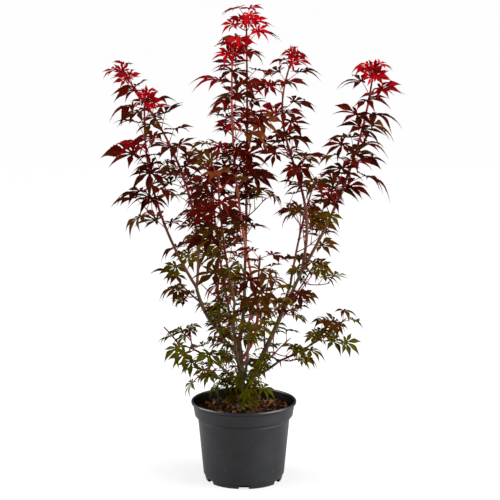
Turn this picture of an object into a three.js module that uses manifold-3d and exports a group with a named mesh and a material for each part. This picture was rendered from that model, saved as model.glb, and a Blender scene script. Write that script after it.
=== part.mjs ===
// A young, many-stemmed maple with dark red leaves, growing in a black nursery pot.
//
// Millimetres, +Z up. The origin is the middle of the pot's flat underside.
// From the ground up: a moulded pot with drainage notches, the bark compost that fills it, a short trunk,
// the boughs that fork from it, and the leafy shoots that carry on from the boughs. Every limb ends 0.3 mm
// clear of what carries it, and every leaf keeps to the space round its own shoot.

import * as THREE from "three";
import { mergeVertices } from "three/addons/utils/BufferGeometryUtils.js";
import Module from "manifold-3d";

const wasm = await Module();
wasm.setup();
const { Manifold, Mesh } = wasm;

// ---------------------------------------------------------------- driving dimensions

const GAP = 0.3; // between a limb and what carries it, and between the compost and the pot
const CLEAR = 0.6; // between a leaf and anything that isn't of its own mass

const POT = {
  height: 200,
  rimRadius: 130,
  bandTopRadius: 125.6, // the collar under the lip, which stands proud of the body
  bandFootRadius: 121.4,
  bandFootHeight: 167,
  bodyTopRadius: 113.2,
  bodyTopHeight: 157,
  bodyFootRadius: 99.6,
  bodyFootHeight: 17,
  baseRadius: 94,
  wall: 2,
  floor: 3,
  facets: 32,
};
const NOTCH = { count: 6, width: 25, height: 9.5, depth: 12 };
const COMPOST = { top: 176, bump: 2.5, edgeDip: 4, edgeSlope: 6, rings: 4, heel: 25, seatRadius: 26 };

// Each limb leaves its parent at a share of the parent's length and runs to its tip. Bow is how far its
// middle stands off the straight line, and sway does the same to one side and then to the other.
const LIMBS = {
  trunk: { foot: [-5, 0, COMPOST.top + GAP], tip: [-12, 0, 352], bow: [3, 2, 0], radii: [11.5, 6.6] },
  left_bough: { from: "trunk", at: 0.97, tip: [-114, -36, 489], bow: [-16, 0, -16], radii: [5.4, 3.5] },
  back_bough: { from: "trunk", at: 0.97, tip: [2, 30, 492], bow: [4, 2, 0], radii: [5, 3.4] },
  centre_bough: { from: "trunk", at: 0.7, tip: [33, -42, 457], bow: [14, -4, -8], radii: [4.4, 3.2] },
  right_bough: { from: "trunk", at: 0.16, tip: [141, -28, 529], bow: [4, 0, 6], radii: [7.4, 3.7] },
  back_left_bough: { from: "trunk", at: 0.86, tip: [-48, 74, 480], bow: [-4, 8, -10], radii: [3.9, 2.9] },
  front_left_bough: { from: "trunk", at: 0.5, tip: [-22, -74, 463], bow: [-8, -8, -8], radii: [4, 2.9] },
  back_right_bough: { from: "right_bough", at: 0.5, tip: [116, 64, 480], bow: [0, 8, -8], radii: [4, 2.9] },
  front_bough: { from: "trunk", at: 0.36, tip: [10, -82, 405], bow: [6, -8, -8], radii: [4, 2.8] },
  low_left_bough: { from: "trunk", at: 0.4, tip: [-58, -32, 293], bow: [0, 0, -3], radii: [3.4, 2.7] },
  low_right_bough: { from: "right_bough", at: 0.16, tip: [88, -30, 306], bow: [0, 0, -4], radii: [3.4, 2.6] },
  low_back_bough: { from: "trunk", at: 0.3, tip: [-14, 66, 296], bow: [0, 4, -4], radii: [3.4, 2.6] },
};
const TRUNK_FLARE = { spread: 0.75, fade: 9, buttresses: 3, ridge: 0.3 };
const TRUNK_GRID = { sides: 12, steps: 9 };
const BOUGH_GRID = { sides: 7, steps: 6 };

// Each mass grows from one shoot that carries on from its limb. Leaf is the middle lobe's length, twiggy
// the share of the lower leaf places that bear a side twig, and bare the share of the shoot that has lost
// its leaves.
const MASSES = {
  left_upright: { from: "left_bough", tip: [-228, -124, 956], bow: [-40, 0, 0], leaf: 70, bare: 0.28 },
  left_outer: { from: "left_bough", tip: [-296, 84, 1000], bow: [60, 6, 0], leaf: 68 },
  crown_leader: { from: "back_bough", tip: [6, 120, 1138], bow: [4, -4, 0], leaf: 70 },
  front_leader: { from: "centre_bough", tip: [-24, -164, 1072], bow: [-22, 4, 0], leaf: 72 },
  right_inner: { from: "right_bough", tip: [122, 200, 1032], bow: [-10, -14, 0], sway: [24, -6, 0], leaf: 68 },
  right_outer: { from: "right_bough", tip: [304, -84, 1014], bow: [28, 0, 0], leaf: 72, bare: 0.25 },
  back_left: { from: "back_left_bough", tip: [-84, 250, 800], bow: [-8, 0, -10], leaf: 66 },
  front_left: { from: "front_left_bough", tip: [-58, -252, 792], bow: [-6, -16, 0], leaf: 64 },
  back_right: { from: "back_right_bough", tip: [186, 262, 722], bow: [-4, 0, 10], leaf: 62 },
  front_middle: { from: "front_bough", tip: [38, -250, 604], bow: [6, 6, 0], leaf: 58, twiggy: 0.35 },
  left_side: { from: "left_bough", at: 0.8, tip: [-166, -56, 524], bow: [-6, 0, 0], leaf: 50 },
  right_side: { from: "right_bough", at: 0.72, tip: [172, -40, 550], bow: [0, 0, -8], leaf: 50 },
  low_left: { from: "low_left_bough", tip: [-160, -92, 362], bow: [0, 0, 8], leaf: 50, twiggy: 0.4 },
  low_right: { from: "low_right_bough", tip: [246, -80, 422], bow: [0, 0, -10], leaf: 50, twiggy: 0.25 },
  low_back: { from: "low_back_bough", tip: [-96, 196, 392], bow: [0, 0, -10], leaf: 50, twiggy: 0.4 },
  inner_left: { from: "left_bough", at: 0.3, tip: [-50, 20, 560], bow: [-10, 0, 0], leaf: 46, twiggy: 0.4 },
  inner_right: { from: "right_bough", at: 0.36, tip: [64, 14, 520], bow: [-6, 6, 0], leaf: 46, twiggy: 0.4 },
  inner_front: { from: "centre_bough", at: 0.55, tip: [66, -120, 500], bow: [6, 0, -6], leaf: 44 },
  base_left: { from: "trunk", at: 0.3, tip: [-116, -20, 266], bow: [0, 0, 8], leaf: 44, twiggy: 0.4 },
  base_right: { from: "right_bough", at: 0.14, tip: [116, 44, 346], bow: [0, 0, 4], leaf: 44, twiggy: 0.4 },
  base_front: { from: "trunk", at: 0.14, tip: [24, -82, 244], bow: [0, 0, 6], leaf: 38, twiggy: 0.2 },
};
const MASS_DEFAULTS = { at: 1, bow: [0, 0, 0], sway: [0, 0, 0], twiggy: 0.3, bare: 0.05 };
const SHOOT = { radii: [3.1, 1.6], lowRadii: [2.6, 1.5], stepLength: 55, sides: 3 };
const TALL_FROM = 600; // shoots whose tips stand higher than this are the thick ones, with dark red leaves
const YOUNG_FROM = 930; // and those higher than this end in a young top, a mass of its own
const YOUNG = { share: 0.1, leaf: 0.7 };

// Leaves stand in pairs. Internode is the length of stem from one pair to the next.
const INTERNODE = { shoot: 49, twig: 36, young: 22 };
const PAIR_STEP = 3; // the two stalks of a pair stand this far apart along the stem
const TWIG = { reach: 92, radii: [1.5, 1.3], bare: 0.3, sag: 5, highestPlace: 0.62, leaf: 0.85 };
const LEAF = {
  lobeAngles: [0, 42, 88], // degrees from the middle lobe, the same on both sides
  lobeLengths: [1, 0.92, 0.62], // against the middle lobe
  sinusRadius: 0.31, // how far from the stalk the cuts between the lobes reach
  heelRadius: 0.1,
  thickness: 1.7,
  stalkRadii: [0.9, 0.38], // where it meets the blade, and sunk in the stem
  stalkAngles: [60, 180, 300],
};
const TURNS_TRIED = [0, 0.5, -0.5, 1, -1]; // radians that a leaf may turn round its stem to keep clear
const SIZES_TRIED = [1, 0.78, 0.6];
const SEED = { compost: 11, masses: 100 };

// ---------------------------------------------------------------- finishes

const finish = (color, roughness) => new THREE.MeshStandardMaterial({ color, roughness, metalness: 0 });
const FINISHES = {
  pot: finish(0x2b2c2e, 0.5),
  compost: finish(0x3b2418, 0.95),
  bark: finish(0x6b5747, 0.85),
  darkRed: finish(0x4a1519, 0.6),
  scarlet: finish(0xb5121f, 0.55),
  green: finish(0x4d5220, 0.6),
};

// ---------------------------------------------------------------- small helpers

const vec = (values = [0, 0, 0]) => new THREE.Vector3(...values);
const radians = THREE.MathUtils.degToRad;
const lerp = THREE.MathUtils.lerp;
const UP = vec([0, 0, 1]);

/** A seeded source of numbers from 0 to 1, so that the plant grows the same way each time. */
function dice(seed) {
  let state = seed;
  return () => {
    state = (state + 0x6d2b79f5) >>> 0;
    let mixed = Math.imul(state ^ (state >>> 15), state | 1);
    mixed ^= mixed + Math.imul(mixed ^ (mixed >>> 7), mixed | 61);
    return ((mixed ^ (mixed >>> 14)) >>> 0) / 2 ** 32;
  };
}

/** The same geometry with positions only, and one vertex where several shared a place. */
function welded(geometry) {
  const bare = new THREE.BufferGeometry().setAttribute("position", geometry.getAttribute("position"));
  return mergeVertices(bare.setIndex(geometry.index), 1e-4);
}

/** A closed geometry as a solid. The empty triangles at a lathe's poles are dropped. */
function solidFrom(geometry) {
  const shared = welded(geometry);
  const corners = shared.index.array;
  const kept = [];
  for (let i = 0; i < corners.length; i += 3) {
    const triangle = corners.slice(i, i + 3);
    if (new Set(triangle).size === 3) kept.push(...triangle);
  }
  const vertProperties = new Float32Array(shared.getAttribute("position").array);
  return new Manifold(new Mesh({ numProp: 3, vertProperties, triVerts: new Uint32Array(kept) }));
}

/** A named mesh with its own origin, from a solid that stands where the mesh will. */
function placed(name, solid, material, origin = vec()) {
  const { vertProperties, triVerts } = solid.translate(-origin.x, -origin.y, -origin.z).getMesh();
  const geometry = new THREE.BufferGeometry()
    .setAttribute("position", new THREE.BufferAttribute(new Float32Array(vertProperties), 3))
    .setIndex(new THREE.BufferAttribute(new Uint32Array(triVerts), 1));
  const mesh = new THREE.Mesh(geometry, material);
  mesh.name = name;
  mesh.position.copy(origin);
  return mesh;
}

/** The largest single body of a solid: loose scraps and sealed hollows are left behind. */
function mainBody(solid) {
  return solid.decompose().reduce((best, body) => (body.volume() > best.volume() ? body : best));
}

/** Pieces made one, without the needless corners that a union leaves along straight edges. */
const fused = (pieces) => Manifold.union(pieces).asOriginal().simplify(0.15);

const boxesMeet = (a, b, margin) =>
  [0, 1, 2].every((k) => a.min[k] - margin < b.max[k] && b.min[k] - margin < a.max[k]);

// ---------------------------------------------------------------- pot and compost

/** A profile of [radius, height] pairs turned round the vertical axis. */
function turned(profile) {
  const points = profile.map(([radius, height]) => new THREE.Vector2(radius, height));
  return new THREE.LatheGeometry(points, POT.facets).rotateX(Math.PI / 2);
}

const STEP_FOOT = POT.bodyTopHeight + POT.wall; // where the inside steps out behind the collar
const STEP_TOP = POT.bandFootHeight + POT.wall;
const INNER_WALL = [
  [POT.baseRadius - POT.wall, POT.floor],
  [POT.bodyFootRadius - POT.wall, POT.bodyFootHeight],
  [POT.bodyTopRadius - POT.wall, STEP_FOOT],
  [POT.bandFootRadius - POT.wall, STEP_TOP],
  [POT.bandTopRadius - POT.wall, POT.height],
];

/** The pot's inner radius at a height. */
function innerRadius(height) {
  const above = Math.max(1, INNER_WALL.findIndex(([, top]) => height <= top));
  const [[lowRadius, low], [highRadius, high]] = INNER_WALL.slice(above - 1, above + 1);
  return lerp(lowRadius, highRadius, (height - low) / (high - low));
}

/** A thin-walled pot with a stepped collar, a rolled lip and notches cut in its bottom corner. */
function buildPot() {
  const lip = POT.rimRadius;
  const outerWall = [
    [POT.baseRadius, 0],
    [POT.baseRadius + 2.6, 8],
    [POT.bodyFootRadius, POT.bodyFootHeight],
    [POT.bodyTopRadius, POT.bodyTopHeight],
    [lerp(POT.bodyTopRadius, POT.bandFootRadius, 0.6), POT.bodyTopHeight + 3],
    [POT.bandFootRadius, POT.bandFootHeight],
    [POT.bandTopRadius, POT.height - 10],
    [lip - 1, POT.height - 7.5],
    [lip, POT.height - 4.5],
    [lip - 0.8, POT.height - 1],
    [lip - 2.5, POT.height],
  ];
  const profile = [[0, 0], ...outerWall, ...INNER_WALL.toReversed(), [0, POT.floor]];
  const cutters = Array.from({ length: NOTCH.count }, (_, i) => {
    const around = (i / NOTCH.count) * 2 * Math.PI - Math.PI / 2;
    const box = new THREE.BoxGeometry(NOTCH.depth * 2, NOTCH.width, NOTCH.height * 2);
    return solidFrom(box.translate(POT.baseRadius + NOTCH.depth / 4, 0, 0).rotateZ(around));
  });
  return mainBody(solidFrom(turned(profile)).subtract(Manifold.union(cutters)));
}

/** Bark compost: a plug that follows the pot's inside, with a lumpy top and a flat seat for the trunk. */
function buildCompost() {
  const { top, edgeDip, edgeSlope, rings, heel, seatRadius, bump } = COMPOST;
  const edge = innerRadius(top - edgeDip) - GAP;
  const slope = Array.from({ length: rings }, (_, i) => [
    lerp(edge - edgeSlope, seatRadius, i / (rings - 1)),
    top,
  ]);
  const profile = [
    [0, POT.floor + GAP],
    [POT.baseRadius - POT.wall - NOTCH.depth, POT.floor + GAP],
    [innerRadius(heel) - GAP, heel],
    [innerRadius(STEP_FOOT) - GAP, STEP_FOOT + GAP],
    [innerRadius(STEP_TOP) - GAP, STEP_TOP + GAP],
    [edge, top - edgeDip],
    ...slope,
    [0, top],
  ];
  const plug = welded(turned(profile));
  const at = plug.getAttribute("position");
  const roll = dice(SEED.compost);
  for (let i = 0; i < at.count; i++) {
    const lump = lerp(-bump, bump, roll());
    const outFromMiddle = Math.hypot(at.getX(i), at.getY(i));
    if (at.getZ(i) > top - 1 && outFromMiddle > seatRadius + 1) at.setZ(i, top + lump);
  }
  return solidFrom(plug);
}

// ---------------------------------------------------------------- limbs

/** The line of a limb: straight from start to tip, bowed by a parabola and swayed by one full wave. */
class LimbCurve extends THREE.Curve {
  constructor(start, tip, bow = vec(), sway = vec()) {
    super();
    Object.assign(this, { start, tip, bow, sway });
  }

  getPoint(t, target = new THREE.Vector3()) {
    return target
      .copy(this.start)
      .addScaledVector(this.tip, t)
      .addScaledVector(this.start, -t)
      .addScaledVector(this.bow, 4 * t * (1 - t))
      .addScaledVector(this.sway, Math.sin(2 * Math.PI * t));
  }

  heading(t) {
    return this.tip
      .clone()
      .sub(this.start)
      .addScaledVector(this.bow, 4 * (1 - 2 * t))
      .addScaledVector(this.sway, 2 * Math.PI * Math.cos(2 * Math.PI * t))
      .normalize();
  }
}

/** The stretch of a limb's line between two shares of its length. */
class Stretch extends LimbCurve {
  constructor(whole, low, high) {
    super(whole.getPoint(low), whole.getPoint(high));
    Object.assign(this, { whole, low, high });
  }

  getPoint(t, target) {
    return this.whole.getPoint(lerp(this.low, this.high, t), target);
  }

  heading(t) {
    return this.whole.heading(lerp(this.low, this.high, t));
  }
}

/** Two directions square to a heading, the first as near to +X as it can be. */
function across(heading) {
  const side = vec([1, 0, 0]).addScaledVector(heading, -heading.x).normalize();
  return [side, side.clone().cross(heading)];
}

/** How much wider a limb is at t than its taper alone: a root flare with a few low ridges. */
function flareAt(t, angle) {
  const { spread, fade, buttresses, ridge } = TRUNK_FLARE;
  return 1 + spread * Math.exp(-t * fade) * (1 + ridge * Math.cos(buttresses * angle));
}

/** A closed, tapering tube along a curve. A grown tube stands off the first by a margin all round. */
function limbSolid(curve, radii, { sides, steps }, { hasFlare = false, grown = 0 } = {}) {
  const geometry = new THREE.CylinderGeometry(1, 1, 1, sides, steps);
  const at = geometry.getAttribute("position");
  const overrun = grown / curve.getLength();
  for (let i = 0; i < at.count; i++) {
    const share = at.getY(i) + 0.5;
    const t = lerp(-overrun, 1 + overrun, share);
    const [side, other] = across(curve.heading(t));
    const flare = hasFlare ? flareAt(share, Math.atan2(at.getZ(i), at.getX(i))) : 1;
    const radius = lerp(radii[0], radii[1], share) * flare + grown / Math.cos(Math.PI / sides);
    const point = curve
      .getPoint(t)
      .addScaledVector(side, at.getX(i) * radius)
      .addScaledVector(other, at.getZ(i) * radius);
    if (hasFlare && share === 0) point.z = curve.start.z; // the foot is cut level
    at.setXYZ(i, point.x, point.y, point.z);
  }
  return solidFrom(geometry);
}

/** Cuts a new limb back from everything already standing, and keeps the piece that carries on. */
function seated(solid, standing) {
  const met = standing.filter((other) => boxesMeet(solid.boundingBox(), other.boundingBox(), GAP));
  return met.length ? mainBody(solid.subtract(Manifold.union(met))) : solid;
}

/** Trunk and boughs, each with its line and with a grown copy that keeps others clear of it. */
function standLimbs() {
  const limbs = [];
  for (const [name, plan] of Object.entries(LIMBS)) {
    const hasFlare = !plan.from;
    const parent = limbs.find((limb) => limb.name === plan.from);
    const start = parent ? parent.curve.getPoint(plan.at) : vec(plan.foot);
    const curve = new LimbCurve(start, vec(plan.tip), vec(plan.bow), vec(plan.sway));
    const grid = hasFlare ? TRUNK_GRID : BOUGH_GRID;
    const solid = seated(
      limbSolid(curve, plan.radii, grid, { hasFlare }),
      limbs.map((limb) => limb.grown),
    );
    const grown = limbSolid(curve, plan.radii, grid, { hasFlare, grown: GAP });
    limbs.push({ name, curve, solid, grown });
  }
  return limbs;
}

/** Every mass's main shoot, the young tops apart, all standing before the first leaf is hung. */
function standShoots(limbs) {
  const masses = [];
  Object.entries(MASSES).forEach(([shoot, given], index) => {
    const plan = { ...MASS_DEFAULTS, ...given };
    const start = limbs.find((limb) => limb.name === plan.from).curve.getPoint(plan.at);
    const whole = new LimbCurve(start, vec(plan.tip), vec(plan.bow), vec(plan.sway));
    const isTall = whole.tip.z > TALL_FROM;
    const youngFrom = whole.tip.z > YOUNG_FROM ? 1 - YOUNG.share : 1;
    const [foot, end] = isTall ? SHOOT.radii : SHOOT.lowRadii;
    const kinds = [{ suffix: "foliage", low: 0, high: youngFrom, isYoung: false }];
    if (youngFrom < 1) kinds.push({ suffix: "young_tip", low: youngFrom, high: 1, isYoung: true });
    kinds.forEach(({ suffix, low, high, isYoung }, k) => {
      const curve = new Stretch(whole, low, high);
      const radii = [lerp(foot, end, low), lerp(foot, end, high)];
      const steps = Math.max(2, Math.round(curve.getLength() / SHOOT.stepLength));
      const grid = { sides: SHOOT.sides, steps };
      const standing = [...limbs, ...masses].map((other) => other.grown);
      masses.push({
        name: `${shoot}_${suffix}`,
        shoot,
        curve,
        isYoung,
        colour: isYoung ? "scarlet" : isTall ? "darkRed" : "green",
        seed: SEED.masses + index * 7 + k,
        leaf: plan.leaf * (isYoung ? YOUNG.leaf : 1),
        twiggy: isYoung ? 0 : plan.twiggy,
        bare: isYoung ? 0.1 : plan.bare,
        line: curve.getPoints(24),
        solid: seated(limbSolid(curve, radii, grid), standing),
        grown: limbSolid(curve, radii, grid, { grown: GAP }),
      });
    });
  });
  return masses;
}

// ---------------------------------------------------------------- leaves

/** The outline of a blade as [angle, radius], all the way round from the middle lobe's tip. */
function leafOutline() {
  const { lobeAngles, lobeLengths, sinusRadius, heelRadius } = LEAF;
  const half = lobeAngles.flatMap((angle, i) => {
    const tip = [angle, lobeLengths[i]];
    const next = lobeAngles[i + 1];
    return next ? [tip, [(angle + next) / 2, sinusRadius]] : [tip];
  });
  const mirrored = half.slice(1).map(([angle, radius]) => [360 - angle, radius]);
  return [...half, [180, heelRadius], ...mirrored.reverse()];
}
const OUTLINE = leafOutline();

/** A point of a blade, by its angle and radius on the blade and its height over it. */
function onBlade({ centre, ahead, normal }, angle, radius, height) {
  return centre
    .clone()
    .addScaledVector(ahead, radius * Math.cos(radians(angle)))
    .addScaledVector(normal.clone().cross(ahead), radius * Math.sin(radians(angle)))
    .addScaledVector(normal, height);
}

/**
 * One leaf and its stalk as a single solid. The blade is a star that is thickest at its middle, where the
 * three-sided stalk leaves its underside and runs down to the stem.
 */
function leafSolid(leaf) {
  const { root, centre, size, droop } = leaf;
  const { thickness, stalkAngles, stalkRadii } = LEAF;
  const blade = OUTLINE.map(([angle, radius]) =>
    onBlade(leaf, angle, radius * size, -droop * size * radius * Math.min(radius, 0.6 + 0.4 * radius)),
  );
  const collar = stalkAngles.map((angle) => onBlade(leaf, angle, stalkRadii[0], -thickness / 2));
  const foot = stalkAngles.map((angle) => onBlade(leaf, angle, stalkRadii[1], 0).sub(centre).add(root));
  const points = [...blade, onBlade(leaf, 0, 0, thickness / 2), ...collar, ...foot];
  const top = blade.length;
  const nearestCollar = ([angle]) => top + 1 + (angle < 100 ? 0 : angle < 220 ? 1 : 2);
  const faces = [];
  blade.forEach((_, i) => {
    const next = (i + 1) % blade.length;
    const [here, there] = [nearestCollar(OUTLINE[i]), nearestCollar(OUTLINE[next])];
    faces.push([top, i, next], [here, next, i]);
    if (here !== there) faces.push([here, there, next]);
  });
  for (let k = 0; k < 3; k++) {
    const [a, b] = [top + 1 + k, top + 1 + ((k + 1) % 3)];
    faces.push([a, a + 3, b], [b, a + 3, b + 3]);
  }
  faces.push([top + 4, top + 6, top + 5]);
  return solidFrom(new THREE.BufferGeometry().setFromPoints(points).setIndex(faces.flat()));
}

/** A way out from a stem: along it, but leaning off it to one side. */
function leaningWay(curve, t, around, lean) {
  const heading = curve.heading(t);
  const [side, other] = across(heading);
  return heading
    .multiplyScalar(Math.cos(lean))
    .addScaledVector(side, Math.sin(lean) * Math.cos(around))
    .addScaledVector(other, Math.sin(lean) * Math.sin(around));
}

/** Where a leaf goes: its stalk leans off the stem, and its blade dips outwards, less so on a young one. */
function leafPlan(curve, t, around, size, isYoung, rolls) {
  const lean = isYoung ? lerp(0.4, 0.8, rolls[0]) : lerp(0.7, 1.05, rolls[0]);
  const facing = isYoung ? lerp(1.2, 2.2, rolls[2]) : lerp(0.45, 1.15, rolls[2]);
  const droop = isYoung ? lerp(-0.1, 0.15, rolls[4]) : lerp(0.16, 0.42, rolls[4]);
  const stalk = leaningWay(curve, t, around, lean).addScaledVector(UP, 0.25).normalize();
  const root = curve.getPoint(t);
  const centre = root.clone().addScaledVector(stalk, size * lerp(0.55, 0.75, rolls[1]));
  const normal = stalk.clone().multiplyScalar(facing).add(UP).normalize();
  const level = vec([stalk.x, stalk.y, 0]);
  const ahead = level.addScaledVector(normal, -level.dot(normal)).normalize();
  normal.applyAxisAngle(ahead, lerp(-0.35, 0.35, rolls[3]));
  return { root, centre, ahead, normal, size, droop };
}

function twigPlan(curve, t, around, rolls) {
  const way = leaningWay(curve, t, around, lerp(0.75, 1, rolls[0]));
  const start = curve.getPoint(t);
  const reach = TWIG.reach * (1 - 0.5 * t) * lerp(0.7, 1.1, rolls[1]);
  return new LimbCurve(start, start.clone().addScaledVector(way, reach), vec([0, 0, -TWIG.sag]));
}

// ---------------------------------------------------------------- growth

/**
 * The rule that every mass grows by. Pairs of leaves stand opposite each other up the shoot, each pair
 * turned a quarter from the last. A low place may bear a side twig, which repeats the rule once.
 */
function grow(mass, hangTwig, hangLeaf) {
  const roll = dice(mass.seed);
  const sprout = (curve, bare, kind, size) => {
    const length = curve.getLength();
    const pairs = Math.max(2, Math.round((length * (1 - bare)) / INTERNODE[kind]));
    const turn = roll() * Math.PI;
    for (let i = 0; i < pairs; i++) {
      for (const half of [0, 1]) {
        const t = lerp(bare, 1, (i + 0.7) / pairs) + ((half - 0.5) * PAIR_STEP) / length;
        const around = turn + (i / 2 + half) * Math.PI + lerp(-0.3, 0.3, roll());
        const rolls = Array.from({ length: 5 }, roll);
        const wantsTwig = roll() < mass.twiggy && kind === "shoot" && t < TWIG.highestPlace;
        const leafSize = size * (1 - 0.25 * t ** 8) * lerp(0.85, 1.15, roll());
        if (wantsTwig) {
          const twig = twigPlan(curve, t, around, rolls);
          if (hangTwig(twig, curve)) sprout(twig, TWIG.bare, "twig", size * TWIG.leaf);
        } else {
          const tries = SIZES_TRIED.flatMap((share) => TURNS_TRIED.map((turnBy) => [share, turnBy]));
          tries.some(([share, turnBy]) => {
            const leaf = leafPlan(curve, t, around + turnBy, leafSize * share, mass.isYoung, rolls);
            return hangLeaf(leaf, curve);
          });
        }
      }
    }
  };
  sprout(mass.curve, mass.bare, mass.isYoung ? "young" : "shoot", mass.leaf);
}

const distanceTo = (line, point) => Math.min(...line.map((on) => on.distanceTo(point)));

/** A leaf keeps to its own mass's space while its long lobes end nearer its shoot than any other. */
function keepsToItsSpace(leaf, ownLine, otherLines) {
  return [0, 42, -42].every((angle) => {
    const tip = onBlade(leaf, angle, leaf.size, -leaf.droop * leaf.size);
    const near = distanceTo(ownLine, tip);
    return otherLines.every((line) => distanceTo(line, tip) > near);
  });
}

/** Hangs a mass's twigs and leaves on its shoot, leaving out any that would touch what stands already. */
function leafOut(mass, masses, obstacles) {
  const otherLines = masses.filter((other) => other.shoot !== mass.shoot).map((other) => other.line);
  const pieces = [{ curve: mass.curve, solid: mass.solid }];
  const isClear = (solid, carrier) => {
    const box = solid.boundingBox();
    const meetsOwn = pieces.some(
      (piece) =>
        piece.curve !== carrier &&
        boxesMeet(box, piece.solid.boundingBox(), 0) &&
        !piece.solid.intersect(solid).isEmpty(),
    );
    const isNear = (other) =>
      boxesMeet(box, other.boundingBox(), CLEAR) && solid.minGap(other, CLEAR * 2) < CLEAR;
    return !meetsOwn && !obstacles.some(isNear);
  };
  const hang = (solid, carrier, curve) => {
    const fits = isClear(solid, carrier);
    if (fits) pieces.push({ curve, solid });
    return fits;
  };
  const hangTwig = (curve, carrier) =>
    hang(limbSolid(curve, TWIG.radii, { sides: SHOOT.sides, steps: 2 }), carrier, curve);
  const hangLeaf = (leaf, carrier) =>
    keepsToItsSpace(leaf, mass.line, otherLines) && hang(leafSolid(leaf), carrier);
  grow(mass, hangTwig, hangLeaf);
  return mainBody(fused(pieces.map((piece) => piece.solid)));
}

// ---------------------------------------------------------------- the potted plant

const pot = buildPot();
const compost = buildCompost();
const limbs = standLimbs();
const masses = standShoots(limbs);

const container = new THREE.Group();
container.add(placed("pot", pot, FINISHES.pot), placed("compost", compost, FINISHES.compost));

const wood = new THREE.Group();
for (const { name, solid, curve } of limbs) {
  wood.add(placed(name, solid, FINISHES.bark, curve.start));
}

const foliage = new THREE.Group();
const leafedOut = [];
for (const mass of masses) {
  const others = masses.filter((other) => other !== mass);
  const obstacles = [pot, compost, ...[...limbs, ...others].map((other) => other.grown), ...leafedOut];
  const solid = leafOut(mass, masses, obstacles);
  leafedOut.push(solid);
  foliage.add(placed(mass.name, solid, FINISHES[mass.colour], mass.curve.start));
}

const plant = new THREE.Group();
plant.add(container, wood, foliage);
export default plant;
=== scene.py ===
# %% [markdown]
# # A potted japanese maple
#
# A young maple with many stems, dark red lobed leaves and scarlet tips, in a black nursery pot filled with
# bark compost. The lesson goes from the ground up: pot, compost, wood, leaves, then light.
# The frame is a simple solid model of the same plant. It fixes every size, and the pieces made here take
# its place one by one.

# %% Load the frame
import math

import bpy
import numpy as np
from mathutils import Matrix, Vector, noise
from mathutils.bvhtree import BVHTree


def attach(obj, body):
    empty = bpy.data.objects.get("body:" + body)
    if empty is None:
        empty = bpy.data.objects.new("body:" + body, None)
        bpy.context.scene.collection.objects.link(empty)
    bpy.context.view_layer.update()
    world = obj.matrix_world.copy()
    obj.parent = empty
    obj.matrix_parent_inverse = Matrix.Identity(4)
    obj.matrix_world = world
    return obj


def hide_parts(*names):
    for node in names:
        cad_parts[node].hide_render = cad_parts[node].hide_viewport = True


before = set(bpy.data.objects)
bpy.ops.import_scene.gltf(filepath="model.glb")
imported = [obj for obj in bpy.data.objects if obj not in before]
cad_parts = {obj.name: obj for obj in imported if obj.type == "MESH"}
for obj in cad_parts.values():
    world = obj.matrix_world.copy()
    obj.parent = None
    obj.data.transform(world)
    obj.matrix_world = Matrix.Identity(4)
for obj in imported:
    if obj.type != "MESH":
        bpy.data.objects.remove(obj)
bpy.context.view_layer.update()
MM = 0.001

# %% [markdown]
# ## The camera
#
# A plant is drawn from a few metres away with a long lens, so that the near side of the pot doesn't swell.
# The camera stands a little higher than the plant and looks down by less than ten degrees, which shows the
# compost through the rim as a thin ellipse. Its place is given in millimetres, like most measures in this
# lesson, and MM turns them into metres.

# %% Camera
EYE = (15.3, -4000, 1250)
LOOKING_DOWN = math.radians(9.576)
bpy.ops.object.camera_add(location=[v * MM for v in EYE], rotation=(math.pi / 2 - LOOKING_DOWN, 0, 0))
camera = bpy.context.object
camera.data.lens = 120
camera.data.sensor_width = 36
bpy.context.scene.camera = camera
print("camera field of view:", round(math.degrees(camera.data.angle), 2), "degrees")

# %% [markdown]
# ## Helpers for editing
#
# Operators act on whatever is selected, and a loaded frame is selected all over, so each new piece starts
# from an empty selection. A finished piece keeps its object at the origin with its place in its mesh:
# then a pattern on Object coordinates falls in the same spot on every piece.

# %% Editing helpers
def clear_selection():
    """Nothing selected, nothing in edit mode."""
    if bpy.context.object and bpy.context.object.mode != "OBJECT":
        bpy.ops.object.mode_set(mode="OBJECT")
    bpy.ops.object.select_all(action="DESELECT")


def pick(piece):
    """Only this piece selected, and active."""
    clear_selection()
    piece.select_set(True)
    bpy.context.view_layer.objects.active = piece


def edit_all():
    """Into edit mode with everything selected."""
    bpy.ops.object.mode_set(mode="EDIT")
    bpy.ops.mesh.select_all(action="SELECT")


def modify(piece, kind, name, **settings):
    """Puts a modifier on the active piece and applies it."""
    modifier = piece.modifiers.new(name, kind)
    for setting, value in settings.items():
        setattr(modifier, setting, value)
    bpy.ops.object.modifier_apply(modifier=name)


def settle(piece, name):
    """Names a piece and moves its place, turn and scale into its mesh."""
    pick(piece)
    piece.name = piece.data.name = name
    bpy.ops.object.transform_apply(location=True, rotation=True, scale=True)
    return piece


def smooth_over(piece, material):
    """Shades a piece smooth and gives it its finish."""
    pick(piece)
    bpy.ops.object.shade_smooth()
    piece.data.materials.append(material)


def positions(piece):
    """The places of a mesh's vertices as rows of an array."""
    flat = np.empty(len(piece.data.vertices) * 3)
    piece.data.vertices.foreach_get("co", flat)
    return flat.reshape(-1, 3)


def move_vertices(piece, places):
    piece.data.vertices.foreach_set("co", places.ravel())
    piece.data.update()


def mesh_piece(name, vertices, faces, smooth=True):
    """A new piece from arrays, for what repeats many times."""
    mesh = bpy.data.meshes.new(name)
    mesh.from_pydata(vertices.tolist(), [], faces)
    mesh.update()
    mesh.polygons.foreach_set("use_smooth", [smooth] * len(mesh.polygons))
    piece = bpy.data.objects.new(name, mesh)
    bpy.context.collection.objects.link(piece)
    return piece


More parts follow.
